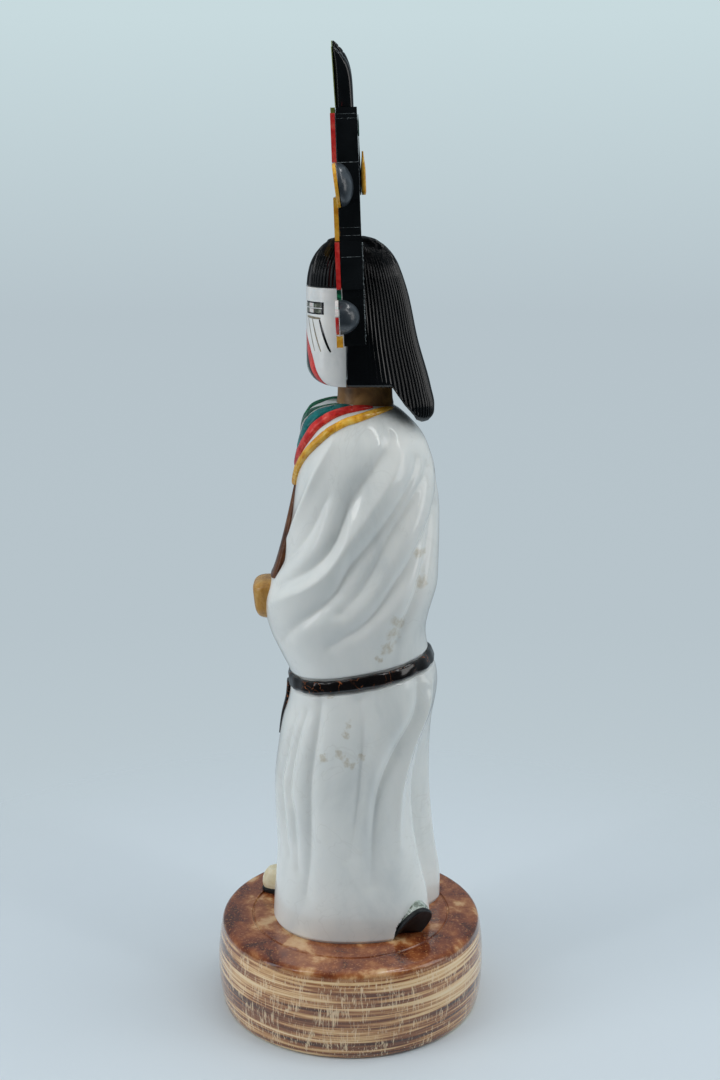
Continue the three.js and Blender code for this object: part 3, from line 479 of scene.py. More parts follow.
@dataclass(frozen=True)
class PolishedStone(Finish):
    """Stone ground to shape and polished: cloudy tones, thin veins, fine pits, a wet shine."""

    name: str
    tones: tuple[tuple[float, str], ...]
    cloud: float
    stretch: tuple = (1.0, 1.0, 1.0)
    twist: float = 0.4
    vein: str = ""
    vein_size: float = 6.0
    vein_width: float = 0.02
    vein_share: float = 0.9
    stains: tuple[tuple[float, float, float], ...] = ()
    stain: str = "#B3A079"
    stain_share: float = 0.48
    ragged: float = 5.0
    roughness: float = 0.14
    shine: float = 0.0
    glow: float = 0.0
    glow_depth: float = 2.0
    pit: float = 0.02
    tile_tone: float = 0.0

    def fill(self, tree: Tree) -> None:
        """Builds colour, polish and surface from the fields.

        Args:
            tree: the node tree.
        """
        colour = ramp(tree, real_noise(tree, self.cloud, self.stretch, 5.0, self.twist), self.tones)
        if self.vein:
            colour = self.add_veins(tree, colour)
        if self.stains:
            colour = self.add_stains(tree, colour)
        if self.tile_tone:
            tile = add_node(tree, "Attribute", {"attribute_name": "tile"}).outputs["Fac"]
            level = rescale(tree, tile, start=1.0 - self.tile_tone, end=1.0 + self.tile_tone)
            colour = add_node(tree, "HueSaturation", None, {"Color": colour, "Value": level}).outputs[0]
        wear = real_noise(tree, 5.0, detail=6.0, shift=3.0)
        rough = rescale(tree, wear, 0.3, 0.7, self.roughness * 0.8, self.roughness * 1.3)
        pits = real_noise(tree, 0.8, detail=3.0, shift=8.0)
        finish_with(tree, skin(tree, colour, rough, (pits, 0.35, self.pit), {
            "IOR": 1.54, "Coat Weight": self.shine, "Coat Roughness": 0.04, "Subsurface Weight": self.glow,
            "Subsurface Scale": self.glow_depth * MM, "Subsurface Radius": (1.0, 0.9, 0.8)}))

    def add_veins(self, tree: Tree, colour: Socket) -> Socket:
        """Lays thin veins over a colour, thicker and thinner along their way.

        Args:
            tree: the node tree.
            colour: the colour under them.

        Returns:
            The colour with them.
        """
        path = real_noise(tree, self.vein_size, detail=3.0, twist=1.2, shift=5.0)
        off = maths(tree, "ABSOLUTE", maths(tree, "SUBTRACT", path, 0.5))
        line = ramp(tree, off, ((0.0, 1.0), (self.vein_width * 0.4, 0.85), (self.vein_width, 0.0)))
        gaps = real_noise(tree, self.vein_size * 1.7, detail=2.0, shift=11.0)
        keep = rescale(tree, gaps, 0.42, 0.55, end=self.vein_share)
        return blend(tree, maths(tree, "MULTIPLY", line, keep), colour, self.vein)

    def add_stains(self, tree: Tree, colour: Socket) -> Socket:
        """Lays small rusty stains at named places, ragged at their edges.

        Args:
            tree: the node tree.
            colour: the colour under them.

        Returns:
            The colour with them.
        """
        place = own_place(tree)
        total = rescale(tree, part_of(tree, place, "X"), 8.0 * MM, 14.0 * MM)
        sway = add_node(tree, "CombineXYZ", None, {"Y": real_noise(tree, 2.6, detail=2.0, shift=2.0),
                                                   "Z": real_noise(tree, 4.4, detail=2.0, shift=17.0)})
        flat = add_node(tree, "VectorMath", {"operation": "MULTIPLY"}, {0: place, 1: (0.0, 1.0, 1.0)})
        reach = (0.0, self.ragged * MM, self.ragged * 1.6 * MM)
        swayed = add_node(tree, "VectorMath", {"operation": "MULTIPLY_ADD"},
                          {0: sway.outputs[0], 1: reach, 2: flat.outputs[0]})
        nearest = None
        for y, z, size in self.stains:
            centre = (0.0, y * MM + reach[1] / 2, z * MM + reach[2] / 2)
            away = add_node(tree, "VectorMath", {"operation": "DISTANCE"}, {0: swayed.outputs[0], 1: centre})
            near = rescale(tree, away.outputs["Value"], size * 0.2 * MM, size * MM, 1.0, 0.0, True)
            nearest = near if nearest is None else maths(tree, "MAXIMUM", nearest, near)
        mottle = real_noise(tree, 1.0, detail=5.0, shift=23.0)
        for factor in (nearest, mottle):
            total = maths(tree, "MULTIPLY", total, factor)
        return blend(tree, rescale(tree, total, 0.08, 0.62, end=self.stain_share), colour, self.stain)


@dataclass(frozen=True)
class BandedOnyx(Finish):
    """Onyx marble cut across its layers: banded on the side, cloudy brown with cream on top."""

    name: str = "onyx_marble_turned_and_polished"
    band: float = 1.5
    side_tones: tuple = ((0.5, "#482615"), (0.58, "#764428"), (0.64, "#9C653D"), (0.68, "#CC9A66"),
                         (0.73, "#E8C392"), (0.82, "#F0D5AC"))
    streak_tone: str = "#EBCFA8"
    top_tones: tuple = ((0.34, "#4E2517"), (0.43, "#733A22"), (0.51, "#8E4F2C"), (0.56, "#AA6E42"),
                        (0.6, "#CB9C6E"), (0.7, "#DDBB8F"))
    speck_tone: str = "#BE8454"
    # Heights between which the side turns into the top, and how much that line wanders
    rim: tuple[float, float] = (36.6, 39.2)
    wander: float = 6.0

    def fill(self, tree: Tree) -> None:
        """Builds the layers, the cream streaks and the browner top.

        Args:
            tree: the node tree.
        """
        fine = real_noise(tree, 1.1, detail=7.0, shift=9.0)
        wobble = real_noise(tree, 9.0, detail=3.0, shift=6.0)
        height = maths(tree, "MULTIPLY_ADD", wobble, self.wander * MM, part_of(tree, own_place(tree), "Z"))
        colour = blend(tree, rescale(tree, height, self.rim[0] * MM, self.rim[1] * MM),
                       self.side_colour(tree), self.top_colour(tree, fine))
        finish_with(tree, skin(tree, colour, rescale(tree, fine, start=0.1, end=0.26), (fine, 0.5, 0.06),
                               {"IOR": 1.55, "Coat Weight": 0.6, "Coat Roughness": 0.05}))

    def side_colour(self, tree: Tree) -> Socket:
        """Gives the layers of the side, crossed by upright dashes of cream.

        Args:
            tree: the node tree.

        Returns:
            The colour.
        """
        fine_layers = real_noise(tree, self.band, (40.0, 40.0, 1.0), 8.0, 0.1)
        broad_layers = real_noise(tree, self.band * 4.6, (20.0, 20.0, 1.0), 2.0, 0.1, 21.0)
        layers = maths(tree, "MULTIPLY_ADD", broad_layers, 0.45, maths(tree, "MULTIPLY", fine_layers, 0.85))
        dashes = real_noise(tree, 0.8, (1.0, 1.0, 9.0), 5.0, 1.4, 4.0)
        columns = real_noise(tree, 6.0, (1.0, 1.0, 1.4), 3.0, 0.3, 12.0)
        streak = rescale(tree, maths(tree, "MULTIPLY_ADD", columns, 0.5, dashes), 0.81, 0.88, end=0.8)
        return blend(tree, streak, ramp(tree, layers, self.side_tones), self.streak_tone)

    def top_colour(self, tree: Tree, fine: Socket) -> Socket:
        """Gives the brown blotches of the top, with lighter specks.

        Args:
            tree: the node tree.
            fine: the fine pattern that the polish follows too.

        Returns:
            The colour.
        """
        blotch = real_noise(tree, 15.0, (1.0, 1.0, 1.0), 8.0, 0.25, 7.0)
        speck = rescale(tree, fine, 0.55, 0.68, end=0.7)
        return blend(tree, speck, ramp(tree, blotch, self.top_tones), self.speck_tone)


@dataclass(frozen=True)
class StudioPaper(Finish):
    """Pale paper under the doll, which fades into the plain backdrop further off."""

    name: str = "pale_studio_paper"
    tone: str = "#D6DEE4"
    fade_from: float = 150.0
    fade_to: float = 360.0

    def fill(self, tree: Tree) -> None:
        """Builds matt paper that fades out away from the doll.

        Args:
            tree: the node tree.
        """
        away = add_node(tree, "VectorMath", {"operation": "LENGTH"}, {0: own_place(tree)})
        fade = rescale(tree, away.outputs["Value"], self.fade_from * MM, self.fade_to * MM, smooth=True)
        paper = skin(tree, linear(self.tone), 0.7, (real_noise(tree, 1.5, detail=2.0), 0.1, 0.02))
        clear = add_node(tree, "BsdfTransparent").outputs[0]
        finish_with(tree, add_node(tree, "MixShader", None, {0: fade, 1: paper, 2: clear}).outputs[0])


# White marble, carved and polished: cool white clouds, a deep soft shine and a few rusty stains
MARBLE = PolishedStone(
    "white_marble_carved_polished", ((0.3, "#D6DAD9"), (0.48, "#E9EBE8"), (0.7, "#F3F3EF")), 34.0,
    stretch=(1.0, 1.0, 1.8), vein="#D3D3CE", vein_size=26.0, vein_width=0.012, vein_share=0.25,
    stains=((-4.0, 120.1, 2.6), (-1.2, 117.0, 2.8), (1.2, 115.9, 2.8), (4.4, 119.0, 2.6), (-0.3, 132.0, 2.6),
            (-1.9, 128.6, 2.2), (18.8, 174.1, 4.2), (17.2, 169.0, 4.4), (15.0, 163.9, 4.0),
            (11.5, 158.9, 2.4), (28.5, 188.3, 4.0), (27.6, 200.3, 3.6), (-7.8, 145.3, 2.4),
            (-11.0, 118.0, 2.6)),
    roughness=0.085, glow=0.2, glow_depth=3.0)
# Jet, cut and polished: near black, mirror-like, with hairline polishing marks
JET = PolishedStone("jet_cut_polished", ((0.3, "#0A0C0D"), (0.7, "#16191B")), 12.0, roughness=0.14, pit=0.01)
# Jet sole, sawn and only rubbed down: black with a dull shine
SOLE = PolishedStone("jet_sawn_rubbed", ((0.3, "#101315"), (0.7, "#1F2326")), 6.0, roughness=0.42, pit=0.03)
# Jet hair, grooved with a thin wheel: the same black, less even in its shine
HAIR = PolishedStone("jet_wheel_grooved", ((0.3, "#050607"), (0.7, "#0E1012")), 9.0, roughness=0.11, pit=0.01)
# Black stone with copper-coloured veins, polished: thin orange lines break the black
VEINED = PolishedStone(
    "black_stone_copper_veined", ((0.3, "#0B0A0A"), (0.66, "#15100F"), (0.8, "#3A251B")), 5.0,
    vein="#B4693C", vein_size=9.0, vein_width=0.008, vein_share=0.9, roughness=0.16, shine=0.4)
# Coral, cut in short pieces and polished: warm red, lighter and darker from piece to piece
CORAL = PolishedStone(
    "red_coral_inlay_polished", ((0.3, "#B01F20"), (0.5, "#D43330"), (0.72, "#EC6656")), 3.4,
    roughness=0.16, shine=0.3, tile_tone=0.14, glow=0.1)
# Yellow amber, cut in short pieces and polished: honey yellow that turns orange at the joints
AMBER = PolishedStone(
    "yellow_amber_inlay_polished", ((0.3, "#D0821E"), (0.48, "#F0B136"), (0.72, "#FFD468")), 3.0,
    roughness=0.18, shine=0.2, tile_tone=0.16)
# Malachite, cut and polished: deep green layers
MALACHITE = PolishedStone(
    "malachite_inlay_polished", ((0.3, "#0A2F24"), (0.48, "#155A41"), (0.56, "#0F4231"), (0.7, "#2A8A5E")),
    2.4, stretch=(3.0, 3.0, 1.0), roughness=0.16, shine=0.3, tile_tone=0.18)
# Olive green stone, cut thin and polished: mossy clouds on the feathers' faces and the board's tip
OLIVE = PolishedStone(
    "olive_green_stone_inlay", ((0.3, "#4E5B2A"), (0.55, "#74803E"), (0.75, "#8E9A56")), 3.0,
    roughness=0.18, shine=0.3)
# Turquoise, cut and polished: blue-green with a fine dark web
TURQUOISE = PolishedStone(
    "turquoise_inlay_polished", ((0.3, "#0A5254"), (0.52, "#0F7474"), (0.75, "#23918C")), 4.0,
    vein="#0C3A38", vein_size=3.0, vein_width=0.02, vein_share=0.6, roughness=0.2, shine=0.3, tile_tone=0.12)
# Mother-of-pearl, ground flat: silvery with pink and green gleams
PEARL = PolishedStone(
    "mother_of_pearl_ground", ((0.3, "#B9C4C0"), (0.42, "#E6E1DC"), (0.52, "#D9C4C4"), (0.6, "#CFE0DA"),
                               (0.72, "#F3F1EC")), 2.6, roughness=0.14, shine=0.6, twist=1.4)
# Mottled grey-green stone of the chin: pale clouds in dull green
LICHEN = PolishedStone(
    "grey_green_stone_inlay", ((0.32, "#4C6B5C"), (0.48, "#8FA399"), (0.58, "#B4BFB6"), (0.7, "#5E8A72")),
    3.0, roughness=0.2, shine=0.2)
# Grey-green shell of the heel, ground round: clouded bands
SHELL = PolishedStone(
    "grey_green_shell_ground", ((0.32, "#5E665A"), (0.46, "#9AA79C"), (0.56, "#C9D2CA"), (0.7, "#7D8273")),
    4.5, stretch=(1.0, 1.0, 0.5), roughness=0.14, shine=0.5, twist=1.5)
# White stone of the mask, polished: a plain cool white with a soft shine, calmer than the robe
MASK = PolishedStone(
    "mask_white_stone_polished", ((0.3, "#DADCDB"), (0.5, "#EAEAE8"), (0.7, "#F2F1ED")), 12.0,
    roughness=0.2, glow=0.2, glow_depth=2.0)
# Cream stone of the shoe, polished: warm ivory against the white robe
CREAM = PolishedStone(
    "cream_stone_polished", ((0.3, "#D5C398"), (0.5, "#E8DCBB"), (0.7, "#F1EAD4")), 5.0,
    roughness=0.25, glow=0.1)
# Brown stone of the chest, polished: chocolate with darker streaks down its length
BROWN = PolishedStone(
    "brown_stone_polished", ((0.3, "#3A2113"), (0.5, "#573420"), (0.7, "#744A2C")), 3.2,
    stretch=(1.0, 1.0, 4.0), roughness=0.24)
# Ochre stone of the hands, polished: warm tan, streaked downwards
TAN = PolishedStone(
    "ochre_stone_polished", ((0.3, "#A5773A"), (0.5, "#BE8F4B"), (0.7, "#CBA362")), 3.0,
    stretch=(1.0, 1.0, 3.0), roughness=0.26, vein="#7C5526", vein_size=5.0, vein_width=0.02, vein_share=0.5)
# Umber stone of the neck, rubbed down: dull brown clouds in the shade of the hair
NECK = PolishedStone(
    "umber_stone_polished", ((0.3, "#5C3E20"), (0.5, "#8C6638"), (0.7, "#AC8450")), 7.0, roughness=0.36)
# Jet of the ear bosses and side feathers, ground round: near black stone whose colour is lifted to soft grey
# as a painted reflection of the bright room
JET_PAINTED_GREY_SHEEN = PolishedStone(
    "jet_ground_round_painted_grey_sheen", ((0.3, "#2A3036"), (0.5, "#3A4147"), (0.7, "#525960")), 6.0,
    roughness=0.3, shine=0.4)
# Pale lines, ground flush: the glue seam behind each leg of the board, and broken pale lines round the board,
# the highest two of which are a painted highlight along the top step's edges
GLUE_AND_PAINTED_HIGHLIGHT = PolishedStone("pale_glue_and_painted_highlight_line", ((0.35, "#15181A"), (0.5, "#50575A"), (0.66, "#9AA3A5")), 1.1,
                     roughness=0.4)
# Umber lines inlaid on the cheek, polished: thin and faded beside the black one
CHEEK = PolishedStone("cheek_line_umber", ((0.3, "#6E6350"), (0.7, "#A39983")), 1.5, roughness=0.3)
# Smoky stone of the eyes, polished: dark grey-green with lighter clouds
SMOKY = PolishedStone("smoky_stone_polished", ((0.3, "#33372F"), (0.5, "#5E6257"), (0.7, "#A3A79B")), 1.6,
                      roughness=0.18)


@dataclass
class RobeForm:
    """Surface of the robe as a function of the turn round the figure and the height over the hem."""

    squareness: float = 2.25
    # How much deeper the folds are cut than listed, and how sharp their bottoms are
    relief: float = 1.45
    crease: float = 1.45
    # Height, front reach, back reach on the left and on the right, half width
    sections: tuple = (
        (0, 33, 36, 42.5, 31), (11, 32.4, 35, 42.5, 31), (30, 31, 30.5, 39.5, 31),
        (50, 31.6, 27.4, 37.4, 31.4), (66, 31.4, 27.4, 36.6, 31.2), (77, 30, 30, 36.4, 30.9),
        (90, 27.8, 35.2, 36.4, 30), (99, 25.2, 35.4, 35.9, 28.7), (110, 24.8, 32, 32, 27.6),
        (119, 28.6, 30.9, 30.9, 28.5), (128, 32.5, 32.1, 32.1, 30), (137, 34.6, 34, 34, 31.3),
        (144, 34, 35.3, 35.3, 31.5),
        (156, 27.8, 35.8, 35.8, 31.2), (170, 24, 36, 36, 30.5), (186, 21.8, 35.4, 35.4, 29),
        (200, 19.8, 32.2, 32.2, 26.4), (208, 18, 28.6, 28.6, 23.2), (214, 17, 23.4, 23.4, 18.4),
        (218, 14.4, 18.6, 18.6, 13.8), (220, 9.5, 15, 15, 10.2))
    # Depth, spread and line of each fold: degrees round from the left side, millimetres over the hem
    folds: tuple = (
        (-1.5, 3.6, ((-18, 208), (-35, 196), (-52, 182), (-78, 166))),
        (1.1, 3.4, ((-20, 187), (-39, 173), (-58, 163), (-76, 157))),
        (2.1, 3.2, ((33, 209), (6, 191), (-11, 170), (-30, 159), (-62, 149))),
        (-1.2, 3.4, ((38, 203), (12, 183), (-8, 163), (-30, 151), (-66, 141))),
        (2.1, 3.2, ((52, 198), (24, 178), (2, 161), (-14, 144), (-52, 129))),
        (1.9, 3.0, ((66, 196), (43, 184), (24, 170), (8, 152), (-4, 140))),
        (1.8, 3.2, ((72, 180), (48, 165), (28, 151), (10, 135), (-12, 125))),
        (1.5, 3.2, ((84, 190), (66, 172), (50, 150), (40, 132), (34, 122))),
        (1.3, 2.8, ((-54, 94), (-62, 76), (-68, 65), (-62, 52), (-54, 34))),
        (1.4, 2.8, ((-41, 96), (-50, 76), (-52, 62), (-46, 52), (-43, 30))),
        (1.4, 3.0, ((-25, 100), (-26, 88), (-29, 72), (-29, 46), (-33, 20))),
        (1.5, 3.0, ((5, 100), (7, 86), (6, 70), (3, 54), (0, 38))),
        (2.0, 3.6, ((50, 104), (49, 90), (37, 79), (25, 67), (19, 52), (14, 26))),
        (-1.4, 3.4, ((66, 98), (59, 88), (49, 72), (44, 56), (42, 40))))
    # Mean radius that turns degrees into millimetres, and how a fold dies away at its ends
    girth: float = 31.5
    fold_end: float = 0.06
    fold_fade: float = 0.4
    # The far side repeats the folds a little shallower and lower
    far_share: float = 0.9
    far_drop: float = 4.0
    # Cleft at the back of the skirt, a little off the middle
    cleft_depth: float = 9.0
    cleft_tall: float = 96.0
    cleft_spread: float = 13.0
    cleft_turn: float = 0.05
    cleft_fade: float = 0.55
    belt_height: float = 107.0
    belt_tall: float = 5.4
    belt_groove: float = 1.6
    # The belt rises towards the back, and the surface with it up to so far above and below
    belt_rise: float = 9.2 / 57
    belt_level: float = 24.0
    belt_calm: float = 46.0

    def fold_depth(self, angle: np.ndarray, height: np.ndarray) -> np.ndarray:
        """Sums how deep the folds are cut.

        Args:
            angle: turn in radians, 0 at the left side.
            height: millimetres over the hem.

        Returns:
            Depth in millimetres, negative on a ridge.
        """
        turn = np.degrees(angle)
        arc = math.radians(self.girth)
        total = np.zeros(np.broadcast(angle, height).shape)
        folds = [(depth, spread, np.asarray(line, float)) for depth, spread, line in self.folds]
        folds += [(depth * self.far_share, spread, line * (-1, 1) + (180, -self.far_drop))
                  for depth, spread, line in folds]
        for depth, spread, line in folds:
            path = step_line(line, 3)
            nearest = np.full(total.shape, 1e9)
            along = np.zeros(total.shape)
            for i, (a, b) in enumerate(zip(path[:-1], path[1:])):
                dx, dy = (b[0] - a[0]) * arc, b[1] - a[1]
                px = ((turn - a[0] + 540) % 360 - 180) * arc
                py = height - a[1]
                share = np.clip((px * dx + py * dy) / (dx * dx + dy * dy), 0, 1)
                distance = np.hypot(px - share * dx, py - share * dy)
                closer = distance < nearest
                nearest = np.where(closer, distance, nearest)
                along = np.where(closer, (i + share) / (len(path) - 1), along)
            fade = np.sin(np.pi * np.clip(along, self.fold_end, 1 - self.fold_end)) ** self.fold_fade
            total += self.relief * depth * fade * np.exp(-(nearest / spread) ** self.crease)
        return total

    def point(self, angle: np.ndarray, height: np.ndarray, lift: np.ndarray | float = 0.0,
              groove: bool = True) -> np.ndarray:
        """Finds points of the surface.

        Args:
            angle: turn in radians, 0 at the left side and a quarter turn at the back.
            height: millimetres over the hem.
            lift: how far outside the surface.
            groove: whether the belt's groove is cut.

        Returns:
            The points, with the coordinates in the last axis.
        """
        angle, height = np.broadcast_arrays(np.asarray(angle, float), np.asarray(height, float))
        away = np.abs(height - self.belt_height)
        slope = self.belt_rise * (1 - smoothstep(0, self.belt_calm, away - self.belt_tall))
        half = read_table(self.sections, height, 4)
        cos, sin = bend(np.cos(angle), self.squareness), bend(np.sin(angle), self.squareness)
        left_share = smoothstep(-0.2, 0.25, cos)
        left, right = (read_table(self.sections, height, k) for k in (2, 3))
        reach = np.where(sin < 0, read_table(self.sections, height, 1), right + (left - right) * left_share)
        cleft = self.cleft_depth * (1 - smoothstep(self.cleft_fade, 1, height / self.cleft_tall))
        cleft = cleft * bulge_at(angle, np.pi / 2 + self.cleft_turn, math.radians(self.cleft_spread))
        inward = self.fold_depth(angle, height) + cleft - lift
        if groove:
            edge = self.belt_tall / 2 + FIT
            inward = inward + self.belt_groove * (1 - smoothstep(edge, edge + 0.8, away))
        x = cos * half - inward * np.cos(angle)
        y = sin * reach - inward * np.sin(angle)
        return grid(x, y, BASE_TOP + height + slope * (y + self.belt_level))


@dataclass
class Robe:
    """The robe: one carved piece from the shoulders to the hem, with an arch over the raised heel."""

    form: RobeForm
    columns: int = 344
    rise: float = 0.84
    # How far the hem's lower edge is drawn in, and rows of points up to where that ends
    hem_in: float = 0.9
    hem_rows: tuple[float, float, float] = (0.35, 0.8, 1.3)
    # Arch over the heel: where it starts, the way it opens, half width, height, depth, share of clean edge
    arch_from: tuple[float, float] = (13.0, 19.6)
    arch_turn: float = 41.0
    arch_half: float = 11.0
    arch_tall: float = 11.6
    arch_deep: float = 3.0
    arch_edge: float = 0.035

    def build(self) -> None:
        """Builds the robe."""
        angles = np.linspace(-np.pi / 2, 1.5 * np.pi, self.columns, endpoint=False)
        heights = np.unique([*np.linspace(0, ROBE_TALL, int(ROBE_TALL / self.rise)), *self.hem_rows])
        angle, height = np.meshgrid(angles, heights)
        hem = -self.hem_in * (1 - smoothstep(0.0, self.hem_rows[-1], height))
        rings = self.open_arch(self.form.point(angle, height, hem))
        Piece("robe_carved", loft(rings), MARBLE, Slot.ROBE, ("robe",), sharp=62).build()

    def open_arch(self, rings: np.ndarray) -> np.ndarray:
        """Sinks the part of the hem inside the arch, up to a clean edge.

        Args:
            rings: points of the robe.

        Returns:
            The points with the arch opened.
        """
        turn = math.radians(self.arch_turn)
        ahead = np.array([math.cos(turn), math.sin(turn)])
        side = np.array([-ahead[1], ahead[0]])
        from_start = rings[..., :2] - np.asarray(self.arch_from)
        along, across, up = from_start @ ahead, from_start @ side, rings[..., 2] - BASE_TOP
        size = np.hypot(across / self.arch_half, up / self.arch_tall)
        facing = along > self.arch_deep
        edge = facing & (np.abs(size - 1) < self.arch_edge)
        scale = np.where(edge, 1 / np.maximum(size, 0.1), 1.0)
        across, up = across * scale, up * scale
        along = np.where(facing & (size < 1 - self.arch_edge), np.minimum(along, self.arch_deep), along)
        flat = np.asarray(self.arch_from) + along[..., None] * ahead + across[..., None] * side
        return np.concatenate([flat, (up + BASE_TOP)[..., None]], -1)


@dataclass
class Belt:
    """Cord belt of veined black stone in its groove, its knot and the hanging end."""

    form: RobeForm
    steps: int = 420
    proud: float = 0.9
    # Count round the belt, start and depth of its slow and its quick unevenness
    waves: tuple = ((9, 0, 0.05), (23, 1, 0.035))
    # Half width, depth and height of the knot, and how deep its wrap is cut
    knot: tuple[float, float, float] = (3.52, 1.984, 2.752)
    wrap: float = 0.08
    sash_long: float = 23.0
    sash_wide: float = 8.0
    sash_proud: float = 1.9
    sash_fold: float = 0.25
    # How square the cord and the sash are, across and over their thickness
    cord_squareness: tuple[float, float] = (2.6, 2.4)
    sash_squareness: tuple[float, float] = (2.6, 2.2)
    # How fast the sash widens from its point, and by what share it narrows again under the knot
    sash_widening: float = 1.6
    sash_narrowing: float = 0.25

    def build(self) -> None:
        """Builds the ring with its knot, and the sash end."""
        angles = around(self.steps).T - np.pi / 2
        turn = around(20)
        half = self.form.belt_tall / 2
        high = self.form.belt_groove + self.proud
        out = FIT + (high - FIT) * np.clip(0.5 + 0.62 * bend(np.cos(turn), self.cord_squareness[0]), 0, 1.08)
        wave = 1 + sum(deep * np.sin(angles * count + start) for count, start, deep in self.waves)
        height = self.form.belt_height + half * wave * bend(np.sin(turn), self.cord_squareness[1])
        rings = self.form.point(angles, height, out * wave)
        knot = self.knot_shape()
        Piece("belt_cord", join([tube(rings), knot]), VEINED, Slot.VEINED, ("belt",)).build()
        self.build_sash()

    def knot_shape(self) -> tuple[np.ndarray, list]:
        """Flattened knot in front, with a shallow cross wrap.

        Returns:
            Points and faces.
        """
        turn = around(32)
        rise = rising(-0.97, 0.97, 19) * np.pi / 2
        wrap = 1 - self.wrap * bulge_at(np.sin(turn), 0, 1 / 3)
        x = self.knot[0] * np.cos(rise) * np.cos(turn) * wrap
        y = self.knot[1] * np.cos(rise) * np.sin(turn)
        z = self.knot[2] * np.sin(rise)
        front = self.form.point(-np.pi / 2, self.form.belt_height)
        return loft(grid(x, y - self.proud, z) + (0, front[1], front[2]))

    def build_sash(self) -> None:
        """Builds the pointed end that hangs from the knot."""
        share = rising(0, 1, 60)
        top = self.form.belt_height - self.form.belt_tall / 2
        front = self.form.point(-np.pi / 2, top - self.sash_long * (1 - share), 0.0, False)
        half = self.sash_wide / 2 * np.minimum(1, 0.03 + self.sash_widening * share)
        half = half * (1 - self.sash_narrowing * share)
        out = self.sash_proud * (0.25 + 0.75 * share)
        turn = around(28)
        x = half * bend(np.cos(turn), self.sash_squareness[0])
        y = front[..., 1] - out * np.clip(bend(np.sin(turn), self.sash_squareness[1]), -0.35, 1)
        fold = self.sash_fold * bulge_at(np.cos(turn), 0, 0.2) * (np.sin(turn) > 0)
        rings = grid(x, y + fold, front[..., 2])
        Piece("sash_end_carved", loft(rings), VEINED, Slot.VEINED, ("sash_end",)).build()


@dataclass
class Necklace:
    """Four strands inlaid on the shoulders, each of short tiles."""

    form: RobeForm
    tall: float = 1.6
    bend: float = 2.6
    # Depth and half width of the joint between two tiles
    groove: float = 0.22
    joint: float = 0.28
    squareness: float = 2.3
    # How thin the strands get at their ends, and how bluntly
    thinnest: float = 0.1
    blunt: float = 2.2
    # The thin shell line between two strands, which has no solid of its own
    line: str = "necklace_silver"
    # Node, finish, slot, drop, rise, width, reach in degrees, tile length
    strands: tuple = (
        ("necklace_malachite", MALACHITE, Slot.MALACHITE, 11, 0.5, 6.0, 80, 9.0),
        ("necklace_silver", PEARL, Slot.PEARL, 14.2, 0.55, 1.0, 82, 30.0),
        ("necklace_turquoise", TURQUOISE, Slot.TURQUOISE, 17, 0.6, 6.8, 94, 12.0),
        ("necklace_coral", CORAL, Slot.CORAL, 24, 0.8, 5.6, 120, 12.5),
        ("necklace_amber", AMBER, Slot.AMBER, 32, 1.6, 4.4, 160, 11.0))

    def path(self, drop: float, rise: float, reach: float, share: np.ndarray) -> tuple:
        """Lays a strand's centre line on the robe.

        Args:
            drop: how far its front hangs below the shoulder top.
            rise: how far its ends lie below the shoulder top.
            reach: how far round each end goes, in degrees.
            share: places along it, -1 to 1.

        Returns:
            Centre points, and the directions up and out.
        """
        angle = -np.pi / 2 + share * math.radians(reach)
        height = ROBE_TALL - (rise + (drop - rise) * (1 - np.abs(share)) ** self.bend)
        centre = self.form.point(angle, height)
        up = self.form.point(angle, np.minimum(ROBE_TALL, height + 1)) - self.form.point(angle, height - 1)
        ahead = self.form.point(angle + 0.02, height) - centre
        return centre, unit(up), unit(np.cross(unit(ahead), unit(up)))

    def build(self) -> None:
        """Builds the strands."""
        rng = np.random.default_rng(7)
        across = np.linspace(0, 2 * np.pi, 18, endpoint=False)
        for node, finish, slot, drop, rise, wide, reach, tile_long in self.strands:
            share = np.linspace(-1, 1, 520)
            centre, up, out = self.path(drop, rise, reach, share)
            tiles = way_along(centre) / tile_long
            joint = bulge_at(tiles, np.round(tiles), self.joint / tile_long)
            taper = np.maximum(self.thinnest, (1 - np.abs(share) ** self.blunt) ** 0.5)
            high = (self.tall * taper + FIT) - self.groove * joint
            side = bend(np.cos(across), self.squareness)[None, :] * (wide / 2 * taper)[:, None]
            lift = np.sin(across)[None, :]
            lift = np.where(lift > 0, lift ** 0.8 * high[:, None], lift * 1.6)
            rings = centre[:, None] + side[..., None] * up[:, None] + lift[..., None] * out[:, None]
            tone = rng.random(64)[np.floor(tiles + 0.5).astype(int) % 64]
            tone = [*np.repeat(tone, len(across)), *END_TONES]
            stands_for = () if node == self.line else (node,)
            Piece(f"{node}_strand", loft(rings), finish, slot, stands_for, tile=tone).build()


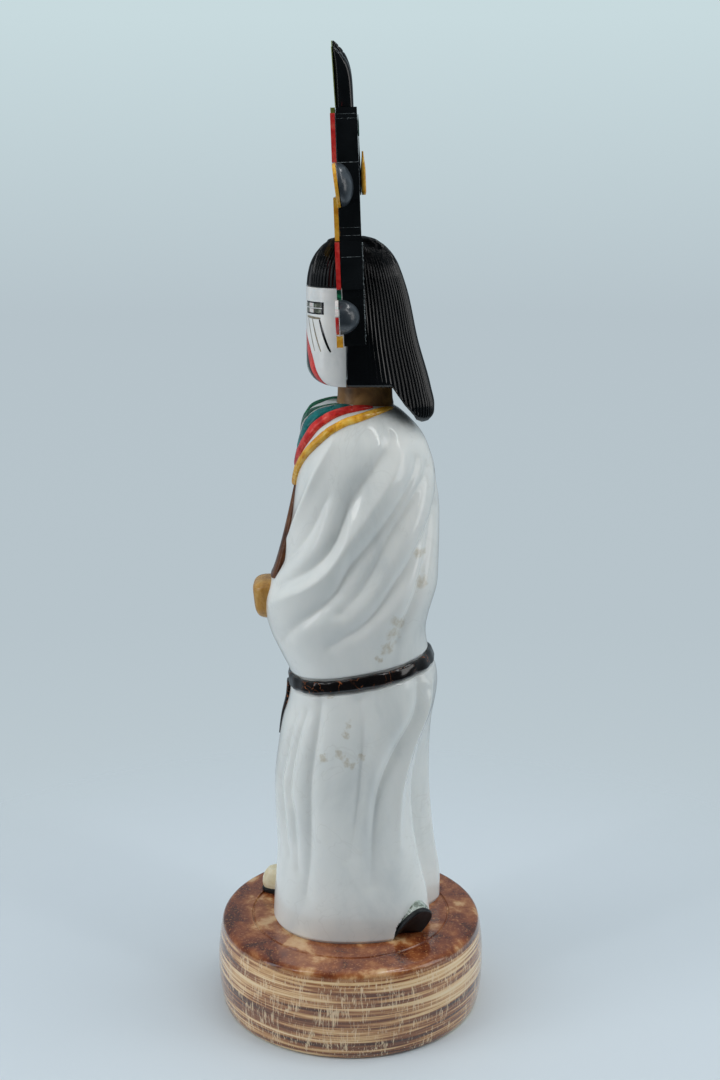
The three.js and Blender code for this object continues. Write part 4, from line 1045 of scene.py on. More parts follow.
@dataclass
class Chest:
    """Brown panel down the chest and the folded hands below it."""

    form: RobeForm
    panel_top: float = 187.0
    panel_tall: float = 37.0
    panel_half_top: float = 1.4
    panel_half_low: float = 9.5
    # The panel's front line: how far forward it starts below and how much it falls back above
    panel_front: float = 32.3
    panel_fall: float = 9.9
    panel_deep: float = 2.6
    panel_squareness: tuple[float, float] = (3.0, 2.4)
    hands_height: float = 140.6
    hands_half: tuple[float, float, float] = (10.0, 7.6, 8.4)
    hands_proud: float = 4.9
    hands_squareness: float = 3.6
    # Depth of the grooves between the fingers, and how far the fingers slant
    finger_groove: float = 0.75
    finger_slant: float = 0.12

    def build(self) -> None:
        """Builds the panel and the hands."""
        share = rising(0, 1, 40)
        front = self.form.point(-np.pi / 2, self.panel_top - self.panel_tall * (1 - share), 0.0, False)
        half = self.panel_half_low + (self.panel_half_top - self.panel_half_low) * share
        turn = around(40)
        ahead = self.panel_fall * share ** 0.8 - self.panel_front
        x = half * bend(np.cos(turn), self.panel_squareness[0])
        y = ahead + self.panel_deep * (1 - bend(np.sin(turn), self.panel_squareness[1]))
        rings = grid(x, y, front[..., 2])
        Piece("chest_panel_carved", loft(rings), BROWN, Slot.BROWN, ("chest_panel",), bevel=0.2).build()
        self.build_hands()

    def build_hands(self) -> None:
        """Builds the two hands, one laid over the other, with grooves between the fingers."""
        half_x, half_y, half_z = self.hands_half
        front = self.form.point(-np.pi / 2, self.hands_height, 0.0, False)
        level = rising(-0.97, 0.97, 70)
        girth = (1 - np.abs(level) ** 5.0) ** 0.45 * (0.97 + 0.12 * level)
        turn = around(220)
        cos, sin = (bend(f(turn), self.hands_squareness) for f in (np.cos, np.sin))
        finger = np.abs(np.sin((cos + self.finger_slant * level) * np.pi * 2.0)) ** 0.6
        groove = self.finger_groove * (1 - finger) * np.exp(-((level + 0.1) / 0.75) ** 4)
        x = cos * (half_x * girth)
        y = sin * (half_y * girth - groove)
        z = level * half_z
        rings = grid(x, y + front[1] - self.hands_proud + half_y, z + front[2])
        Piece("hands_folded", loft(rings), TAN, Slot.TAN, ("hands",)).build()


@dataclass
class Head:
    """Neck, white mask, chin bands, eyes and cheek marks."""

    half_width: float = 19.6
    front: float = 16.9
    back: float = 1.3
    tall: float = 37.4
    chin: float = 8.0
    squareness: float = 2.5
    # How deep the mask is sunk under an inlay, and how far the inlay's edge overlaps it
    dip: float = 0.5
    lip: float = 0.4
    neck_half: tuple[float, float] = (9.5, 10.8)
    neck_centre: float = 6.0
    # How far the neck goes down into the shoulders and up, and its flare at the foot
    neck_span: tuple[float, float] = (-3.0, 7.9)
    neck_flare: tuple[float, float] = (0.05, 1.5)
    # Chin bands: how far they stand out, how deep they go, tiles to a radian
    band_proud: float = 0.05
    band_deep: float = 1.3
    band_tiles: float = 7.0
    # Cheek marks: how far they stand out and how deep they go
    mark_span: tuple[float, float] = (0.05, -0.8)
    # Inner and outer edge of an eye, its lower and upper edge; its rim, the bar and the white line
    eye: tuple[float, float, float, float] = (7.6, 17.8, 27.4, 32.2)
    eye_rim: float = 0.6
    eye_bar: float = 0.3
    eye_line: float = 0.16
    # Name, finish, slot, and edges of an eye's squares from the eye's inner edge
    eye_cells: tuple = (("shell", PEARL, Slot.PEARL, 3.6, 6.6), ("outer", SMOKY, Slot.JET, 6.9, 9.5),
                        ("inner", SMOKY, Slot.JET, 0.8, 3.3))
    # Node, finish, slot, outer and inner half width and height
    bands: tuple = (
        ("chin_coral", CORAL, Slot.CORAL, (15.8, 20.8), (12.8, 15.2)),
        ("chin_jet", JET, Slot.JET, (12.8, 15.2), (10.4, 11.6)),
        ("chin_green", LICHEN, Slot.MALACHITE, (10.4, 11.6), (5.6, 4.8)))
    # Finish, width, from and to as distance across and height over the mask's underside
    marks: tuple = (
        (CHEEK, 0.9, (8.6, 26.3), (16.9, 26.0)),
        (CHEEK, 0.5, (10.0, 25.6), (14.6, 13.4)),
        (CHEEK, 0.6, (13.2, 26.0), (17.0, 13.4)),
        (JET, 1.0, (16.6, 25.6), (18.9, 13.4)))

    def reach(self, height: np.ndarray) -> tuple[np.ndarray, np.ndarray]:
        """Measures the mask at a height, smaller where the chin rounds off.

        Args:
            height: millimetres over the underside.

        Returns:
            Half width, and how far the mask comes forward.
        """
        low = np.clip(height, 0, self.chin)
        chin = np.sqrt(np.maximum(0, 1 - ((self.chin - low) / self.chin) ** 2))
        return self.half_width * (0.95 + 0.05 * chin), (self.front - self.back) * (0.5 + 0.5 * chin)

    def depth(self, x: np.ndarray, height: np.ndarray) -> np.ndarray:
        """Finds the mask's front for places across and over its underside.

        Args:
            x: distance across.
            height: millimetres over the underside.

        Returns:
            The y coordinate of the surface.
        """
        half, reach = self.reach(height)
        inside = np.maximum(0, 1 - np.abs(np.clip(x / half, -1, 1)) ** self.squareness)
        return -self.back - reach * inside ** (1 / self.squareness)

    def build(self) -> None:
        """Builds the head's pieces."""
        self.build_neck()
        self.build_mask()
        for node, finish, slot, outer, inner in self.bands:
            self.build_band(node, finish, slot, outer, inner)
        for side, sign in (("left", 1), ("right", -1)):
            self.build_eye(side, sign)
            for number, (finish, width, start, end) in enumerate(self.marks):
                strip = self.strip(sign, start, end, width)
                Piece(f"cheek_mark_{side}_{number + 1}", strip, finish, Slot.JET).build()

    def build_neck(self) -> None:
        """Builds the neck, a little wider where it meets the shoulders."""
        height = rising(*self.neck_span, 26)
        turn = around(96)
        flare = 1 + self.neck_flare[0] * np.exp(-np.maximum(height, 0) / self.neck_flare[1])
        x = self.neck_half[0] * np.cos(turn) * flare
        y = self.neck_centre + self.neck_half[1] * np.sin(turn) * flare
        rings = grid(x, y, SHOULDER_Z + height)
        Piece("neck_carved", loft(rings), NECK, Slot.TAN, ("neck",)).build()

    def build_mask(self) -> None:
        """Builds the mask, sunk a little under the chin bands and the eyes."""
        height = np.concatenate([self.chin * rising(0, 1, 22) ** 1.8, rising(8.4, self.tall, 80)])
        turn = np.linspace(np.pi, 2 * np.pi, 200)[None, :]
        half, reach = self.reach(height)
        x = bend(np.cos(turn), self.squareness) * half
        y = -self.back + bend(np.sin(turn), self.squareness) * reach
        outer_half, outer_tall = (size - self.lip for size in self.bands[0][3])
        inner_half, inner_tall = (size + self.lip for size in self.bands[-1][4])
        sunk = np.hypot(x / outer_half, height / outer_tall) < 1
        sunk &= np.hypot(x / inner_half, height / inner_tall) > 1
        x0, x1, z0, z1 = (edge + self.lip * way for edge, way in zip(self.eye, (1, -1, 1, -1)))
        sunk |= (np.abs(x) > x0) & (np.abs(x) < x1) & (height > z0) & (height < z1)
        y = np.where(sunk, np.minimum(y + self.dip, -self.back - 0.2), y)
        rings = grid(x, y, HEAD_Z + height)
        Piece("mask_carved", loft(rings), MASK, Slot.MASK, ("mask",), sharp=50).build()

    def build_band(self, node: str, finish: Finish, slot: Slot, outer: tuple, inner: tuple) -> None:
        """Builds one curved band flush with the mask.

        Args:
            node: CAD node that it stands for.
            finish: its finish.
            slot: its slot.
            outer: half width and height of its outer edge.
            inner: the same of its inner edge.
        """
        t = rising(0, np.pi, 220)
        s = np.linspace(0, 1, 12)[None, :]
        half = inner[0] + (outer[0] - inner[0]) * s
        tall = inner[1] + (outer[1] - inner[1]) * s
        x, height = half * np.cos(t), tall * np.sin(t)
        y = self.depth(x, height)
        top = grid(x, y - self.band_proud, HEAD_Z + height)
        under = grid(x, np.minimum(y + self.band_deep, -self.back + FIT), HEAD_Z + height + 0.02)
        rings = np.concatenate([top, under[:, ::-1]], 1)
        length = (t[:, 0] * self.band_tiles).astype(int)
        tone = np.repeat(np.random.default_rng(3).random(40)[length], rings.shape[1])
        Piece(f"{node}_inlay", loft(rings), finish, slot, (node,), tile=[*tone, *END_TONES]).build()

    def patch(self, sign: int, x0: float, x1: float, z0: float, z1: float, proud: float) -> tuple:
        """Makes a rectangular inlay that follows the mask.

        Args:
            sign: 1 on the left, -1 on the right.
            x0: inner edge.
            x1: outer edge.
            z0: lower edge over the mask's underside.
            z1: upper edge.
            proud: how far it stands out.

        Returns:
            Points and faces.
        """
        across = rising(x0, x1, 26)
        up = np.linspace(z0, z1, 8)[None, :]
        y = self.depth(across, up)
        top = grid(sign * across, y - proud, HEAD_Z + up)
        under = grid(sign * across, y + 1.0, HEAD_Z + up)
        return loft(np.concatenate([top, under[:, ::-1]], 1))

    def strip(self, sign: int, start: tuple, end: tuple, width: float) -> tuple:
        """Makes a thin line inlaid in the mask, from one place to another.

        Args:
            sign: 1 on the left, -1 on the right.
            start: distance across and height over the mask's underside.
            end: the same at the other end.
            width: its width.

        Returns:
            Points and faces.
        """
        share = rising(0, 1, 24)
        line = np.asarray(start) + (np.asarray(end) - np.asarray(start)) * share
        x, up = line[:, :1], line[:, 1:]
        y = self.depth(x, up)
        surface = np.concatenate([x, y, up], 1)
        slope = (self.depth(x + 0.05, up) - self.depth(x - 0.05, up)) / 0.1
        normal = unit(np.concatenate([slope, -np.ones_like(slope), 0 * slope], 1))
        side = np.cross(unit(np.gradient(surface, axis=0)), normal)
        wide = width / 2 * (0.55 + 0.45 * np.sin(np.pi * share) ** 0.5)
        proud, deep = self.mark_span
        corners = [surface + side * wide * across + normal * out
                   for across, out in ((-1, proud), (1, proud), (1, deep), (-1, deep))]
        rings = np.stack(corners, 1) * (sign, 1, 1) + (0, 0, HEAD_Z)
        return loft(rings)

    def build_eye(self, side: str, sign: int) -> None:
        """Builds an eye: a jet frame with smoky stone and squares of shell about a white line.

        Args:
            side: left or right.
            sign: 1 on the left, -1 on the right.
        """
        x0, x1, z0, z1 = self.eye
        frame = self.patch(sign, x0, x1, z0, z1, 0.05)
        Piece(f"eye_{side}_frame", frame, JET, Slot.JET, (f"eye_{side}",), bevel=0.15).build()
        middle = (z0 + z1) / 2
        rows = ((z0 + self.eye_rim, middle - self.eye_bar), (middle + self.eye_bar, z1 - self.eye_rim))
        for name, finish, slot, left, right in self.eye_cells:
            squares = [self.patch(sign, x0 + left, x0 + right, low, high, 0.1) for low, high in rows]
            Piece(f"eye_{side}_{name}", join(squares), finish, slot).build()
        line = self.patch(sign, x0 + 0.5, x1 - 0.4, middle - self.eye_line, middle + self.eye_line, 0.11)
        Piece(f"eye_{side}_line", line, MASK, Slot.MASK).build()


@dataclass
class Hair:
    """Hair of jet: the fringe over the mask and the long back, grooved from the crown down."""

    centre: float = 2.0
    half_width: float = 20.6
    top: float = 56.2
    fringe: float = 37.8
    squareness: float = 2.3
    # Distance from groove to groove, their depth, and how far they are combed sideways, except in the middle
    pitch: float = 1.6
    groove: float = 0.55
    comb: float = 0.1
    middle: float = 26.0
    # Heights between which the grooves turn from cutting inwards to cutting down
    crown: tuple[float, float] = (42.0, 54.0)
    # The grooves reach their full depth over these distances back and these heights
    far_back: tuple[float, float] = (10.0, 28.0)
    high_up: tuple[float, float] = (14.0, 44.0)
    shallow: float = 0.45
    # How far forward the long back starts and how far back the fringe ends
    back_from: float = -1.0
    fringe_to: float = -3.0
    # Height at which the back's grooves have their pitch, and its rows of points by share
    even_at: float = 16.0
    rows: tuple = ((0, 0.06, 8), (0.06, 0.8, 60), (0.8, 1, 44))
    columns: int = 6
    hem_in: float = 0.9
    # Height over the head's underside, front reach, back reach, half width as a share
    sections: tuple = (
        (-15, 12, 31.4, 0.92), (-13, 13, 33, 0.97), (-9.6, 14, 33.5, 1), (-1.8, 15.5, 32, 1.03),
        (16, 16.6, 26.9, 1.01), (37.8, 16.8, 21.8, 0.96), (42.4, 16.2, 20.2, 0.93),
        (47, 14.8, 18.2, 0.86), (50.8, 12.4, 15.5, 0.75), (53.8, 9.2, 12, 0.58),
        (55.6, 5.8, 8.4, 0.37), (56.2, 1.4, 5.8, 0.18))
    # Underside: distance back and height over the head's underside
    underline: tuple = ((-20, 0), (16.8, 0), (21, -7.6), (25.7, -13.4), (29, -14.8), (34, -15.2))

    def point(self, angle: np.ndarray, height: np.ndarray | float,
              groove: np.ndarray | float) -> np.ndarray:
        """Finds points of the hair.

        Args:
            angle: turn in radians, 0 at the left side.
            height: millimetres over the head's underside.
            groove: how deep the surface is cut.

        Returns:
            The points.
        """
        cos, sin = bend(np.cos(angle), self.squareness), bend(np.sin(angle), self.squareness)
        half = read_table(self.sections, height, 3) * self.half_width
        front, back = (read_table(self.sections, height, k) for k in (1, 2))
        reach = np.where(sin < 0, front + self.centre, back - self.centre)
        x = cos * half - groove * np.cos(angle)
        y = self.centre + sin * reach - groove * np.sin(angle)
        sunk = groove * smoothstep(*self.crown, height)
        return grid(x, y, HEAD_Z + height - sunk)

    def turn_at(self, y: float, height: float) -> float:
        """Gives how far round from the side towards the front the outline reaches a y."""
        front = read_table(self.sections, height, 1)
        return math.asin(((self.centre - y) / (front + self.centre)) ** (self.squareness / 2))

    def spread(self, start: float, end: float, height: float) -> tuple[np.ndarray, np.ndarray]:
        """Places columns evenly along the surface, a few to each groove.

        Args:
            start: first angle.
            end: last angle.
            height: height at which the grooves have their pitch.

        Returns:
            Angles, and their places counted in grooves.
        """
        fine = np.linspace(start, end, 3000)
        length = way_along(self.point(fine, height, 0.0))
        grooves = int(length[-1] / self.pitch)
        place = np.linspace(0, grooves, grooves * self.columns + 1)
        return np.interp(place / grooves * length[-1], length, fine), place

    def cut(self, place: np.ndarray) -> np.ndarray:
        """Gives how deep the surface is cut at a place counted in grooves."""
        return self.groove * (0.5 + 0.5 * np.cos(2 * np.pi * place)) ** 1.2

    def narrowing(self, height: np.ndarray) -> np.ndarray:
        """Gives how much shallower the grooves get where they draw together at the crown."""
        return np.clip(read_table(self.sections, height, 3) * 1.3, 0.25, 1.0)

    def build(self) -> None:
        """Builds both pieces."""
        self.build_back()
        self.build_fringe()

    def build_back(self) -> None:
        """Builds the long back, with its underside cut round the neck and shoulders."""
        ahead = self.turn_at(self.back_from, self.even_at)
        angles, place = self.spread(-ahead, np.pi + ahead, self.even_at)
        low_y = self.point(angles, -4.0, 0.0)[:, 1]
        line = np.asarray(self.underline, float)
        low = np.interp(low_y, line[:, 0], line[:, 1])
        share = np.concatenate([rising(*part)[:-1] for part in self.rows] + [[[1.0]]])
        height = low + (self.top - low) * share
        fade = smoothstep(0.0, 0.05, share) * 0.75 + 0.25
        from_back = np.abs(place - place[-1] / 2)[None, :]
        combed = self.comb * (1 - bulge_at(from_back, 0, self.middle)) * (self.top - height) / self.pitch
        strong = np.maximum(smoothstep(*self.far_back, low_y), smoothstep(*self.high_up, height))
        strong = self.shallow + (1 - self.shallow) * strong
        depth = self.cut(from_back + combed) * fade * strong * self.narrowing(height)
        rings = self.point(angles[None, :], height, depth)
        hem = self.hem_in * (1 - smoothstep(0.0, 0.02, share))
        rings[..., 0] -= np.sign(rings[..., 0]) * hem * np.minimum(1, np.abs(rings[..., 0]) / 6)
        points, faces = loft(rings)
        kept = [face for face in faces if len(face) == 4]
        columns, rows = len(angles), len(share)
        top = len(points) - 1
        last = (rows - 1) * columns
        kept += [[top, last + i, last + (i + 1) % columns] for i in range(columns)]
        kept += [[i + 1, i, columns - 1 - i, columns - 2 - i] for i in range(columns // 2)
                 if i + 1 < columns - 2 - i]
        points = np.delete(points, len(points) - 2, 0)
        kept = [[i if i < top - 1 else top - 1 for i in face] for face in kept]
        Piece("hair_back_grooved", (points, kept), HAIR, Slot.JET, ("hair_back",), sharp=75).build()

    def build_fringe(self) -> None:
        """Builds the fringe in front of the board."""
        ahead = self.turn_at(self.fringe_to, self.fringe)
        angles, place = self.spread(np.pi + ahead, 2 * np.pi - ahead, 38.0)
        share = rising(0, 1, 60)
        height = self.fringe + (self.top - 0.15 - self.fringe) * share ** 0.85
        rings = self.point(angles[None, :], height, self.cut(place) * self.narrowing(height))
        board = BOARD_FOOT[1] - (rings[..., 2] - BOARD_FOOT[2]) * math.tan(math.radians(BOARD_LEAN))
        wall = board - FIT * 0.2
        rings[..., 1] = np.minimum(rings[..., 1], wall)
        Piece("hair_fringe_grooved", loft(rings), HAIR, Slot.JET, ("hair_front",), sharp=75).build()


@dataclass
class Board:
    """Upright board with its front inlays: the CAD solids with softened edges, pale lines round it, the top
    two of them painted highlights along the top step's edges, and a glue seam.
    """

    nodes: dict[str, bpy.types.Object]
    # Half width and height up the board of each pale line; the two at 82.5 and 84.1 are painted highlights
    # along the edges of the top step
    joints: tuple = ((22.0, 84.1), (22.0, 82.5), (28.0, 66.8), (24.5, 43.4), (24.5, 40.5), (29.0, 32.9))
    pale_line_tall: float = 0.22
    pale_line_proud: float = 0.04
    # How square a joint line's corners are
    corner: float = 40.0
    # Glue seam behind each leg: ends up the board, place across, least and most radius
    seam_span: tuple[float, float] = (0.4, 38.0)
    seam_across: float = 27.2
    seam_thick: tuple[float, float] = (0.12, 0.62)
    finishes: dict = field(default_factory=lambda: {
        "tableta": (JET, 0.35), "top_coral_left": (CORAL, 0.3), "top_coral_right": (CORAL, 0.3),
        "brow_coral_left": (CORAL, 0.3), "brow_coral_right": (CORAL, 0.3),
        "brow_malachite_left": (MALACHITE, 0.25), "brow_malachite_right": (MALACHITE, 0.25),
        "top_green": (OLIVE, 0.3), "waist_amber": (AMBER, 0.3), "cloud_shell": (PEARL, 0.3),
        "pendant_left": (AMBER, 0.3), "pendant_right": (AMBER, 0.3)})

    def build(self) -> None:
        """Dresses the solids and adds the pale lines, two of them painted edge highlights, and the seam."""
        for name, (finish, bevel) in self.finishes.items():
            node = self.nodes[name]
            node.data.materials.clear()
            node.data.materials.append(finish.material())
            round_edges(node, bevel)
            LOG.info("%s: CAD solid with %s", name, finish.name)
        # The two highest pale lines are painted highlights along the top step's edges
        lines = [self.joint(half, height) for half, height in self.joints]
        Piece("board_pale_lines_with_painted_highlights", join(lines), GLUE_AND_PAINTED_HIGHLIGHT, Slot.JET).build()
        for side, sign in (("left", 1), ("right", -1)):
            Piece(f"board_seam_{side}", self.seam(sign), GLUE_AND_PAINTED_HIGHLIGHT, Slot.JET).build()

    def joint(self, half: float, height: float) -> tuple:
        """Makes a pale line round the board, a hair proud of its faces; at the top step it is a painted
        highlight along an edge.

        Args:
            half: half its length across.
            height: its height up the board.

        Returns:
            Points and faces.
        """
        turn, level = around(64), rising(-1, 1, 3)
        out = self.pale_line_proud * (1 - 2 * np.abs(level))
        x = (half + out) * bend(np.cos(turn), self.corner)
        y = BOARD_THICK / 2 + (BOARD_THICK / 2 + out) * bend(np.sin(turn), self.corner)
        z = height + self.pale_line_tall / 2 * level
        return loft(board_place(grid(x, y, z)))

    def seam(self, sign: int) -> tuple:
        """Makes the rough glue seam behind a leg of the board.

        Args:
            sign: 1 on the left, -1 on the right.

        Returns:
            Points and faces.
        """
        z = rising(*self.seam_span, 260)
        turn = around(10)
        least, most = self.seam_thick
        rough = least + (most - least) * np.random.default_rng(11 + sign).random((260, 1)) ** 2
        x = sign * (self.seam_across + rough * np.cos(turn))
        y = BOARD_THICK + 0.1 + rough * np.sin(turn)
        return loft(board_place(grid(x, y, z)))


@dataclass
class Crest:
    """Three curling feathers on the board's tip, each with a thin yellow face."""

    foot: float = 87.3
    half: float = 2.9
    front: float = 0.3
    sweep: float = 0.6
    thick: float = 7.0
    curl: float = 7.0
    bend: float = 4.4
    plate: float = 0.45
    squareness: float = 2.5
    # Half width at the foot as a share, and how much of it is gained on the way up
    foot_share: float = 0.82
    widening: float = 0.5
    # How much of its height a feather is drawn to, so that its tip stays a small face
    drawn: float = 0.985
    # Depth, place and width of the nicks near a feather's tip, as shares of its height
    nicks: tuple = ((0.5, 0.9, 0.012), (0.35, 0.82, 0.01))
    # Side, offset across, height, splay in degrees
    feathers: tuple = (("left", 6.6, 21.5, 7.0), ("middle", 0.0, 24.6, 0.0), ("right", -6.6, 21.5, -7.0))

    def rings(self, tall: float, face: np.ndarray, back: np.ndarray, share: np.ndarray) -> np.ndarray:
        """Makes the rings of a feather in its own frame.

        Args:
            tall: its height.
            face: front at each share of the height.
            back: rear at each share.
            share: the shares.

        Returns:
            The rings.
        """
        turn = around(36)
        half = self.half * (self.foot_share + self.widening * share) * np.sqrt(1 - share ** 5)
        back = np.maximum(face + 0.2, back)
        x = half * bend(np.cos(turn), self.squareness)
        y = (face + back) / 2 + (back - face) / 2 * bend(np.sin(turn), self.squareness)
        return grid(x, y, share * tall)

    def build(self) -> None:
        """Builds the feathers and their faces."""
        share = self.drawn * rising(0, 1, 60)
        face = -self.front - self.sweep * share
        body_front = face + self.plate + 0.02
        body_back = -self.front + self.thick - self.curl * share ** self.bend
        nick = sum(deep * bulge_at(share, at, wide) for deep, at, wide in self.nicks)
        for side, across, tall, splay in self.feathers:
            for name, finish, slot, low, high in (
                    ("crest_feather", JET, Slot.JET, body_front, body_back - nick),
                    ("crest_inlay", OLIVE, Slot.AMBER, face, face + self.plate)):
                rings = self.rings(tall, low, high, share)
                turn = math.radians(splay)
                x = rings[..., 0] * math.cos(turn) + rings[..., 2] * math.sin(turn) + across
                z = rings[..., 2] * math.cos(turn) - rings[..., 0] * math.sin(turn)
                z = z + self.foot + abs(splay) * 0.06
                placed = board_place(grid(x, rings[..., 1], z))
                Piece(f"{name}_{side}_carved", loft(placed), finish, slot, (f"{name}_{side}",)).build()


@dataclass
class Sides:
    """Round feathers at the board's shoulders and the ear ornaments below."""

    lobe_at: tuple[float, float, float] = (28.3, 0.4, 58.8)
    lobe: tuple[float, float, float] = (8.5, 5.2, 8.0)
    lobe_turn: float = 5.5
    ear_at: tuple[float, float, float] = (28.3, -1.2, 10.9)
    ear: tuple[float, float, float] = (6.5, 7.4, 6.5)
    plate: float = 1.3
    rounding: float = 0.35
    # V cut at an ear boss's upper front: depth, middle, half height and half width in radians
    notch: tuple[float, float, float, float] = (0.3, 0.85, 0.22, 0.5)
    # Height at which shell gives way to coral, and half the gap between them
    split: float = 0.6
    gap: float = 0.15
    # Ends of the discs, just inside their full half heights
    lobe_end: float = 7.96
    ear_end: float = 6.47

    def place(self, points: np.ndarray, at: tuple, turn: float, sign: int) -> np.ndarray:
        """Moves points from an ornament's own frame into the doll's."""
        return board_place((tip_forward(points, turn) + at) * (sign, 1, 1))

    def dome(self, size: tuple, notched: bool) -> np.ndarray:
        """Makes a quarter of an ellipsoid with a flat front and inner side.

        Args:
            size: reach outwards, depth backwards and half height.
            notched: whether it has the V cut.

        Returns:
            Its rings from the bottom up.
        """
        rise = rising(-0.985, 0.985, 60) * np.pi / 2
        turn = np.linspace(0, np.pi / 2, 36)[None, :]
        deep, middle, tall, wide = self.notch
        cut = deep * bulge_at(rise, middle, tall) * bulge_at(turn, 0, wide) * notched
        out = np.cos(rise) * (1 - cut)
        x = size[0] * out * np.cos(turn)
        y = size[1] * out * np.sin(turn)
        z = size[2] * np.sin(rise)
        arc = grid(x, y, z)
        return np.concatenate([arc, grid(0.0, 0.0, z)], 1)

    def disc(self, reach: float, high: float, low: float, top: float) -> np.ndarray:
        """Makes a half disc, or the part of one between two heights.

        Args:
            reach: reach outwards.
            high: half height of the whole disc.
            low: lower end.
            top: upper end.

        Returns:
            Its rings from the bottom up.
        """
        z = rising(low, top, 60)
        edge = reach * np.sqrt(np.maximum(0.0004, 1 - (z / high) ** 2))
        front, back = -FIT - self.plate, -FIT
        rows = ((0.0, back), (0.0, front), (np.maximum(edge - self.rounding, 0.01), front),
                (edge, front + self.rounding), (edge, back))
        return np.concatenate([grid(x, y, z) for x, y in rows], 1)

    def build(self) -> None:
        """Builds the ornaments of both sides."""
        for side, sign in (("left", 1), ("right", -1)):
            lobe_disc = self.disc(self.lobe[0], self.lobe[2], -self.lobe_end, self.lobe_end)
            shell = self.disc(self.ear[0], self.ear[2], self.split + self.gap, self.ear_end)
            coral = self.disc(self.ear[0], self.ear[2], -self.ear_end, self.split - self.gap)
            # The ear bosses and side feathers are black jet; their grey colour is a painted reflection
            made = (
                ("side_feather", self.dome(self.lobe, False), JET_PAINTED_GREY_SHEEN, Slot.JET, self.lobe_at,
                 self.lobe_turn),
                ("side_inlay", lobe_disc, AMBER, Slot.AMBER, self.lobe_at, self.lobe_turn),
                ("ear_boss", self.dome(self.ear, True), JET_PAINTED_GREY_SHEEN, Slot.JET, self.ear_at, 0.0),
                ("ear_shell", shell, PEARL, Slot.PEARL, self.ear_at, 0.0),
                ("ear_coral", coral, CORAL, Slot.CORAL, self.ear_at, 0.0))
            for name, rings, finish, slot, at, turn in made:
                placed = self.place(rings, at, turn, sign)
                Piece(f"{name}_{side}_carved", loft(placed), finish, slot, (f"{name}_{side}",),
                      bevel=0.12).build()


@dataclass
class Plume:
    """Narrow plume behind the board: a jet strip faced with yellow, and a green one above."""

    half: float = 4.5
    low: float = 54.8
    high: float = 71.0
    green: tuple[float, float] = (76.5, 84.5)
    thick: float = 0.6
    amber_thick: float = 1.9
    squareness: tuple[float, float] = (5.0, 4.0)
    # Depth, spacing and half width of the joints between its pieces, as shares
    joint: tuple[float, float, float] = (0.05, 0.25, 0.03)

    def strip(self, low: float, high: float, y: float, thick: float, point: float) -> tuple:
        """Makes a strip that narrows towards its top.

        Args:
            low: lower end up the board.
            high: upper end.
            y: its front behind the board's front.
            thick: its thickness.
            point: share of the size that the top keeps.

        Returns:
            Points and faces.
        """
        share = rising(0, 1, 50)
        turn = around(28)
        size = 1 - (1 - point) * smoothstep(0.55, 1.0, share)
        size = size * (1 - 0.25 * (1 - smoothstep(0.0, 0.08, share)))
        deep, apart, wide = self.joint
        joint = 1 - deep * bulge_at(np.mod(share / apart, 1), 0.5, wide)
        x = self.half * size ** 0.4 * bend(np.cos(turn), self.squareness[0])
        y = y + thick / 2 + thick / 2 * size * joint * bend(np.sin(turn), self.squareness[1])
        return loft(board_place(grid(x, y, low + (high - low) * share)))

    def build(self) -> None:
        """Builds the three strips."""
        back = BOARD_THICK + 0.02
        for name, finish, slot, low, high, y, thick, point in (
                ("back_plume", JET, Slot.JET, self.low, self.green[0] - FIT, back, self.thick, 0.5),
                ("back_plume_amber", AMBER, Slot.AMBER, self.low, self.high, back + self.thick,
                 self.amber_thick, 0.35),
                ("back_plume_green", MALACHITE, Slot.MALACHITE, *self.green, back, self.thick, 0.4)):
            Piece(f"{name}_carved", self.strip(low, high, y, thick, point), finish, slot, (name,)).build()


@dataclass
class Shoes:
    """The two shoes: the far one flat, the near one with its heel raised."""

    length: float = 30.0
    width: float = 12.5
    tall: float = 8.4
    sole: float = 2.0
    squareness: float = 2.6
    toe_wider: float = 0.12
    # Side, place with its lift, lean as tilt, roll and turn in degrees, finish of the upper, slot
    pairs: tuple = (("left", (24.0, 23.0, 0.0), (50.0, -54.0, 0.0), SHELL, Slot.PEARL),
                    ("right", (-19.5, -24.2, 0.0), (0.0, 0.0, 4.0), CREAM, Slot.CREAM))

    def shape(self, low: float, high: float, dome: float, at: tuple, lean: tuple) -> tuple:
        """Makes a shoe or a sole, placed in the doll's frame and cut level with the base.

        Args:
            low: underside over the shoe's own ground.
            high: top.
            dome: how much the top draws in.
            at: place across, place towards the back and lift.
            lean: tilt of the heel, roll and turn in degrees.

        Returns:
            Points and faces.
        """
        share = rising(0, 1, 34)
        circle = around(80)
        shrink = 1 - dome * share ** 2.4
        edge = 1 - 0.05 * (1 - np.sin(np.pi * np.clip(share * 0.9 + 0.05, 0, 1))) ** 2
        cos, sin = (bend(f(circle), self.squareness) for f in (np.cos, np.sin))
        x = cos * self.width / 2 * shrink * edge * (1 + self.toe_wider * sin)
        y = sin * self.length / 2 * (0.5 + 0.5 * shrink) * edge
        points = grid(x, y, low + (high - low) * share)
        tilt, roll, turn = (math.radians(angle) for angle in lean)
        leaning = Matrix.Rotation(tilt, 3, "X") @ Matrix.Rotation(roll, 3, "Y")
        turned = np.array(Matrix.Rotation(turn, 3, "Z") @ leaning)
        placed = points @ turned.T + (*at[:2], BASE_TOP + at[2])
        placed[..., 2] = np.maximum(placed[..., 2], BASE_TOP + 0.02)
        return loft(placed)

    def build(self) -> None:
        """Builds both shoes and their soles."""
        for side, at, lean, finish, slot in self.pairs:
            sole = self.shape(0.0, self.sole, 0.0, at, lean)
            Piece(f"{side}_sole_cut", sole, SOLE, Slot.JET, (f"{side}_sole",), bevel=0.3).build()
            shoe = self.shape(self.sole + FIT, self.sole + FIT + self.tall, 0.34, at, lean)
            Piece(f"{side}_shoe_carved", shoe, finish, slot, (f"{side}_shoe",)).build()


